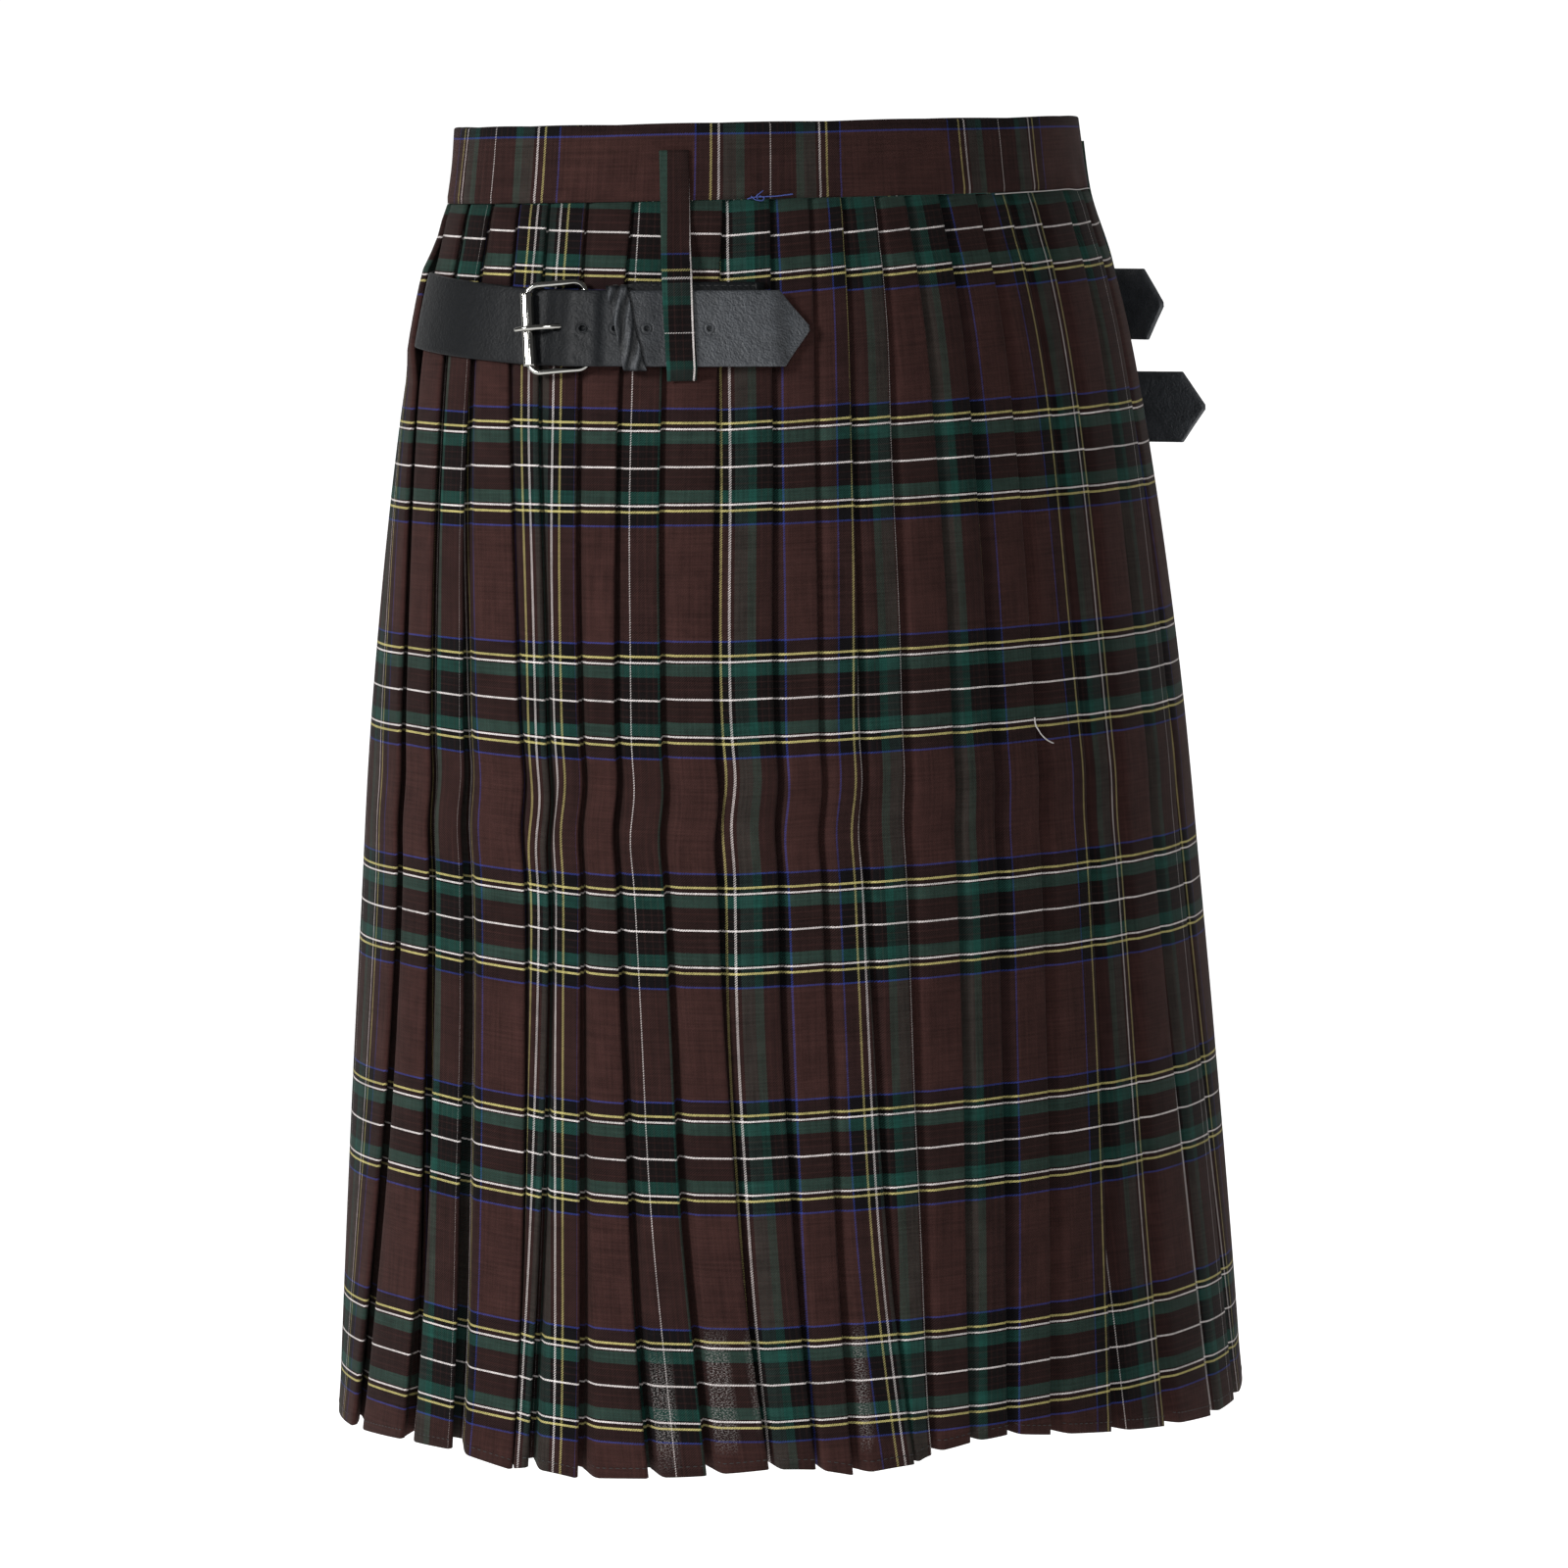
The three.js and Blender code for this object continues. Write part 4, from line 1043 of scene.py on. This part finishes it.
def buckle_pieces(f):
    body = dict(f, leaves=1000)
    heel_at = strap_points(body, HEEL, 0, HEEL_LIFT)
    roller_at = strap_points(body, 0, 0, ROLLER_LIFT)
    length = np.linalg.norm(heel_at - roller_at)
    back = (heel_at - roller_at) / length
    edge_up = strap_points(body, HEEL / 2, 10, 5) - strap_points(body, HEEL / 2, -10, 5)
    out = np.cross(back, edge_up)
    out /= np.linalg.norm(out)
    up = np.cross(out, back)
    centre = (heel_at + roller_at) / 2
    c, s = math.cos(math.radians(f["tilt"])), math.sin(math.radians(f["tilt"]))
    x_axis, y_axis = back * c + up * s, -back * s + up * c
    outward = out * f["way"]

    def world(x, y, z):
        x, y, z = np.broadcast_arrays(*(np.asarray(v, float) for v in (x, y, z)))
        return centre + x[..., None] * x_axis + y[..., None] * y_axis + z[..., None] * outward

    half_long, half_high = length / 2, FRAME_HEIGHT / 2 - FRAME_WIRE
    route = rounded_frame(half_long, half_high, FRAME_CORNER, 9, 1.5)
    bow = 0.9 * np.cos(np.clip(route[:, 0] / half_long, -1, 1) * math.pi / 2) * smooth(
        np.abs(route[:, 1]), half_high - 5, half_high)
    wire = tube(world(route[:, 0], route[:, 1], bow), FRAME_WIRE, outward, closed=True)
    frame_piece = loop_piece(f["name"] + "_buckle_wire", wire, NICKEL, closed=True)
    fitted(frame_piece, f["name"] + "_buckle_frame")

    rim = [(0.2, 2.1), (0, 2.4), (0, 2.8), (0.25, 3.05), (0.8, ROLLER_RADIUS)]
    profile = [(in_from_end - ROLLER_HALF, radius) for in_from_end, radius in rim]
    profile += [(y, ROLLER_RADIUS) for y in (-ROLLER_HALF / 2, 0, ROLLER_HALF / 2)]
    profile += [(ROLLER_HALF - in_from_end, radius) for in_from_end, radius in rim[::-1]]
    profile += [(y, 2.05) for y in (ROLLER_HALF / 2, 0, -ROLLER_HALF / 2)]
    t = np.linspace(0, 2 * math.pi, 48, endpoint=False)
    seam = 0.28 * np.exp(-((t - 1.9) / 0.1) ** 2)
    rings = []
    for y, radius in profile:
        size = radius - (seam if radius > 2.5 else 0)
        rings.append(world(-half_long + size * np.cos(t), y, size * np.sin(t)))
    turned = np.swapaxes(np.array(rings), 0, 1)
    roller_skin = loop_piece(f["name"] + "_roller_tube", turned, NICKEL, closed=True)
    fitted(roller_skin, f["name"] + "_roller")

    at = np.concatenate([[0], np.cumsum(np.hypot(*np.diff(PRONG_ROUTE, axis=0).T))])
    fine = np.linspace(0, at[-1], 44)
    along, lift = through(at, PRONG_ROUTE[:, 0], fine), through(at, PRONG_ROUTE[:, 1], fine)
    line = strap_points(body, along, 0, lift) - centre
    route = world(line @ x_axis, 0, line @ outward)
    size = 1.3 * np.sqrt(np.clip((at[-1] - fine) / 0.9, 0.02, 1))
    size = size * mix(1, 0.88, smooth(fine, at[-1] - 9, at[-1]))
    tongue = loop_piece(f["name"] + "_prong_tongue", tube(route, size, y_axis), NICKEL)
    eye_angles = np.radians(np.linspace(-20, 320, 30))
    eye_route = world(half_long + 2.65 * np.cos(eye_angles), 0, 2.65 * np.sin(eye_angles))
    eye = loop_piece(f["name"] + "_prong_eye", tube(eye_route, 1.2, y_axis), NICKEL)
    fitted(tongue, f["name"] + "_prong")
    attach(eye, "root")


for fastening in FASTENINGS:
    strap_piece(fastening)
    tab_piece(fastening)
    keeper_piece(fastening)
    buckle_pieces(fastening)


# Threads and stitches

def stitch_maker(spacing, length, radius, material):
    """Geometry nodes that lay short stitches end to end along a line."""
    tree = bpy.data.node_groups.new("stitches", "GeometryNodeTree")
    tree.interface.new_socket("Lines", in_out="INPUT", socket_type="NodeSocketGeometry")
    tree.interface.new_socket("Stitches", in_out="OUTPUT", socket_type="NodeSocketGeometry")
    given = tree.nodes.new("NodeGroupInput")
    curve = add_node(tree, "GeometryNodeMeshToCurve", {0: given.outputs["Lines"]})
    marks = add_node(tree, "GeometryNodeCurveToPoints",
                     {"Curve": curve.outputs[0], "Length": spacing * MM}, mode="LENGTH")
    ball = add_node(tree, "GeometryNodeMeshUVSphere", {"Segments": 8, "Rings": 6, "Radius": 1.0})
    size = Vector((radius, radius, length / 2)) * MM
    long_ball = add_node(tree, "GeometryNodeTransform", {"Geometry": ball.outputs[0], "Scale": size})
    laid = add_node(tree, "GeometryNodeInstanceOnPoints", {
        "Points": marks.outputs["Points"], "Instance": long_ball.outputs[0],
        "Rotation": marks.outputs["Rotation"],
    })
    real = add_node(tree, "GeometryNodeRealizeInstances", {0: laid.outputs[0]})
    dyed = add_node(tree, "GeometryNodeSetMaterial", {"Geometry": real.outputs[0], "Material": material})
    smoothed = add_node(tree, "GeometryNodeSetShadeSmooth", {"Geometry": dyed.outputs[0]})
    add_node(tree, "NodeGroupOutput", {0: smoothed.outputs[0]})
    return tree


def stitch_rows(name, rows, maker):
    """Stitches along rows of points in millimetres, as one piece."""
    vertices = np.concatenate(rows) * MM
    edges = []
    start = 0
    for row in rows:
        edges += [(start + n, start + n + 1) for n in range(len(row) - 1)]
        start += len(row)
    mesh = bpy.data.meshes.new(name)
    mesh.from_pydata(vertices.tolist(), edges, [])
    lines = new_object(name + "_lines", mesh)
    lines.modifiers.new("stitches", "NODES").node_group = maker
    shown = lines.evaluated_get(bpy.context.evaluated_depsgraph_get())
    made = bpy.data.meshes.new_from_object(shown)
    bpy.data.objects.remove(lines)
    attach(new_object(name, made), "root")


def hem_rows():
    """The line of hem stitches on each face, from fold to fold."""
    rows = []
    for k in range(1, LAST_FOLD + 1):
        face = Section(HEM_STITCH)
        rise_and_face(face, k)
        rows.append(face.rows[4:])
    # The apron's stitches stop short of its fold
    rows.append(over_apron(HEM_STITCH).rows[:-12])
    out = (CLOTH + HEM_TURNING) / 2
    return [skirt_points(np.array(row), HEM_STITCH, out) for row in rows]


def thread(name, stops, radius, material):
    """A loose thread through stops given as angle, drop and lift."""
    stops = np.array(stops, float)
    t = np.arange(len(stops))
    fine = np.linspace(0, len(stops) - 1, 14 * len(stops))
    angle, drop, lift = (through(t, stops[:, n], fine) for n in range(3))
    route = surface(np.radians(angle), drop, lift)
    ahead = np.gradient(route, axis=0)
    reference = surface(np.radians(angle), drop, lift + 1) - route
    rings = tube(route, radius, reference + 0.2 * ahead[::-1], sides=6)
    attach(loop_piece(name, rings, material), "root")


HEM_STITCHES = stitch_maker(3.0, 2.1, 0.22, BLACK_THREAD)
LEATHER_STITCHES = stitch_maker(3.4, 2.6, 0.3, BLACK_THREAD)
stitch_rows("hem_stitches", hem_rows(), HEM_STITCHES)

for fastening in FASTENINGS:
    body = dict(fastening, leaves=1000)
    run = np.arange(HEEL + 12, fastening["tab"] - 4, 1.5)
    upper = strap_points(body, run, 19.3, TAB_TOP + 0.05)
    lower = strap_points(body, run, -14.3, TAB_TOP + 0.05)
    side = strap_points(body, fastening["tab"] - 4.5, np.linspace(-14, 19, 24), TAB_TOP + 0.05)
    stitch_rows(fastening["name"] + "_tab_stitches", [upper, lower, side], LEATHER_STITCHES)

thread("blue_tacking_thread", [
    (57.6, 34.9, 0.7), (58.8, 34.1, 1.0), (60.2, 34.0, 1.2), (62.2, 33.9, 0.8), (64, 33.5, 1.0),
    (65.4, 33.1, 0.9),
], 0.3, BLUE_THREAD)
thread("blue_thread_end", [
    (59.4, 35.4, 0.8), (59.1, 33.8, 1.6), (59.7, 32.3, 1.9), (60.3, 31.2, 1.3),
], 0.26, BLUE_THREAD)
thread("blue_thread_loop", [
    (58.2, 33.6, 1.1), (58.9, 35.3, 1.6), (59.9, 35.8, 1.7), (60.4, 34.6, 1.4), (59.6, 33.4, 1.1),
], 0.24, BLUE_THREAD)
thread("white_seam_thread", [
    (105, 35.6, 0.2), (111, 35.2, 0.5), (118.7, 34.9, 0.3), (124, 34.6, 0.6), (128.7, 34.4, 0.4),
    (134, 34.9, 0.4), (142, 34.5, 0.5), (150, 34.7, 0.3),
], 0.26, WHITE_THREAD)
thread("loose_white_thread", [
    (95.2, 276.5, 0.5), (95.0, 279.5, 1.4), (95.4, 282.8, 1.9), (96.1, 285.6, 1.8), (97, 287.6, 1.4),
    (98, 289, 0.8),
], 0.33, WHITE_THREAD)


# Studio

VIEW_AZIMUTH = math.radians(141.0)
TOWARD_CAMERA = Vector((math.sin(VIEW_AZIMUTH), -math.cos(VIEW_AZIMUTH), 0))
LEFT_OF_CAMERA = Vector((-math.cos(VIEW_AZIMUTH), -math.sin(VIEW_AZIMUTH), 0))
CAMERA_DISTANCE = 3.6
CAMERA_PITCH = 5
CAMERA_ROLL = 1.1
CAMERA_LENS = 173.8
LIGHTS_AIM = Vector((0, 0, -0.28))
FLOOR_HEIGHT = -1.15
FLOOR_HALF = 60


def camera():
    """At the height of the waistband, 3.6 m away, to the left and behind."""
    pitch = math.radians(CAMERA_PITCH)
    place = TOWARD_CAMERA * CAMERA_DISTANCE + Vector((0, 0, TOP * MM))
    look = -(TOWARD_CAMERA * math.cos(pitch)) - Vector((0, 0, math.sin(pitch)))
    turned = look.to_track_quat("-Z", "Y").to_matrix().to_4x4()
    roll = Matrix.Rotation(math.radians(-CAMERA_ROLL), 4, "Z")
    data = bpy.data.cameras.new("camera")
    data.sensor_width = 36
    data.lens = CAMERA_LENS
    data.clip_end = 50
    seen = new_object("camera", data)
    seen.matrix_world = Matrix.Translation(place) @ turned @ roll
    bpy.context.scene.camera = seen


def area_light(name, place, size, power):
    data = bpy.data.lights.new(name, "AREA")
    data.size = size
    data.energy = power
    lamp = new_object(name, data)
    lamp.location = place
    lamp.rotation_euler = (LIGHTS_AIM - place).to_track_quat("-Z", "Y").to_euler()


def room():
    """White paper behind, a dim room on the camera's side."""
    world = bpy.data.worlds.new("room")
    world.use_nodes = True
    tree = world.node_tree
    tree.nodes.clear()
    place = add_node(tree, "ShaderNodeTexCoord")
    facing = add_node(tree, "ShaderNodeVectorMath", {0: place.outputs["Generated"], 1: TOWARD_CAMERA},
                      operation="DOT_PRODUCT")
    bright = add_node(tree, "ShaderNodeMapRange", {
        "Value": facing.outputs["Value"], "From Min": -0.8, "From Max": -0.2,
        "To Min": 1.1, "To Max": 0.14,
    }, interpolation_type="SMOOTHSTEP")
    background = add_node(tree, "ShaderNodeBackground",
                          {"Color": rgb("FFFFFF"), "Strength": bright.outputs[0]})
    add_node(tree, "ShaderNodeOutputWorld", {"Surface": background.outputs[0]})
    bpy.context.scene.world = world


def floor():
    """A wide white floor that glows evenly, standing in for lamps that aren't in the picture."""
    made, tree = new_material("floor_paper")
    paper = add_node(tree, "ShaderNodeBsdfDiffuse", {"Color": rgb("D8D8D8")})
    glow = add_node(tree, "ShaderNodeEmission", {"Color": rgb("FFFFFF"), "Strength": 0.95})
    both = add_node(tree, "ShaderNodeAddShader", {0: paper.outputs[0], 1: glow.outputs[0]})
    mesh = bpy.data.meshes.new("floor")
    corners = [(x * FLOOR_HALF, y * FLOOR_HALF, FLOOR_HEIGHT)
               for x, y in ((-1, -1), (1, -1), (1, 1), (-1, 1))]
    mesh.from_pydata(corners, [], [(0, 1, 2, 3)])
    mesh.materials.append(finish_material(made, both))
    new_object("floor", mesh)


camera()
room()
floor()
bpy.context.scene.view_settings.view_transform = "Standard"
area_light("key", TOWARD_CAMERA * 2.4 + LEFT_OF_CAMERA * 2.3 + Vector((0, 0, 1.0)), 0.8, 160)
area_light("front", TOWARD_CAMERA * 3.4 + LEFT_OF_CAMERA * -0.1 + Vector((0, 0, 0.9)), 0.7, 36)
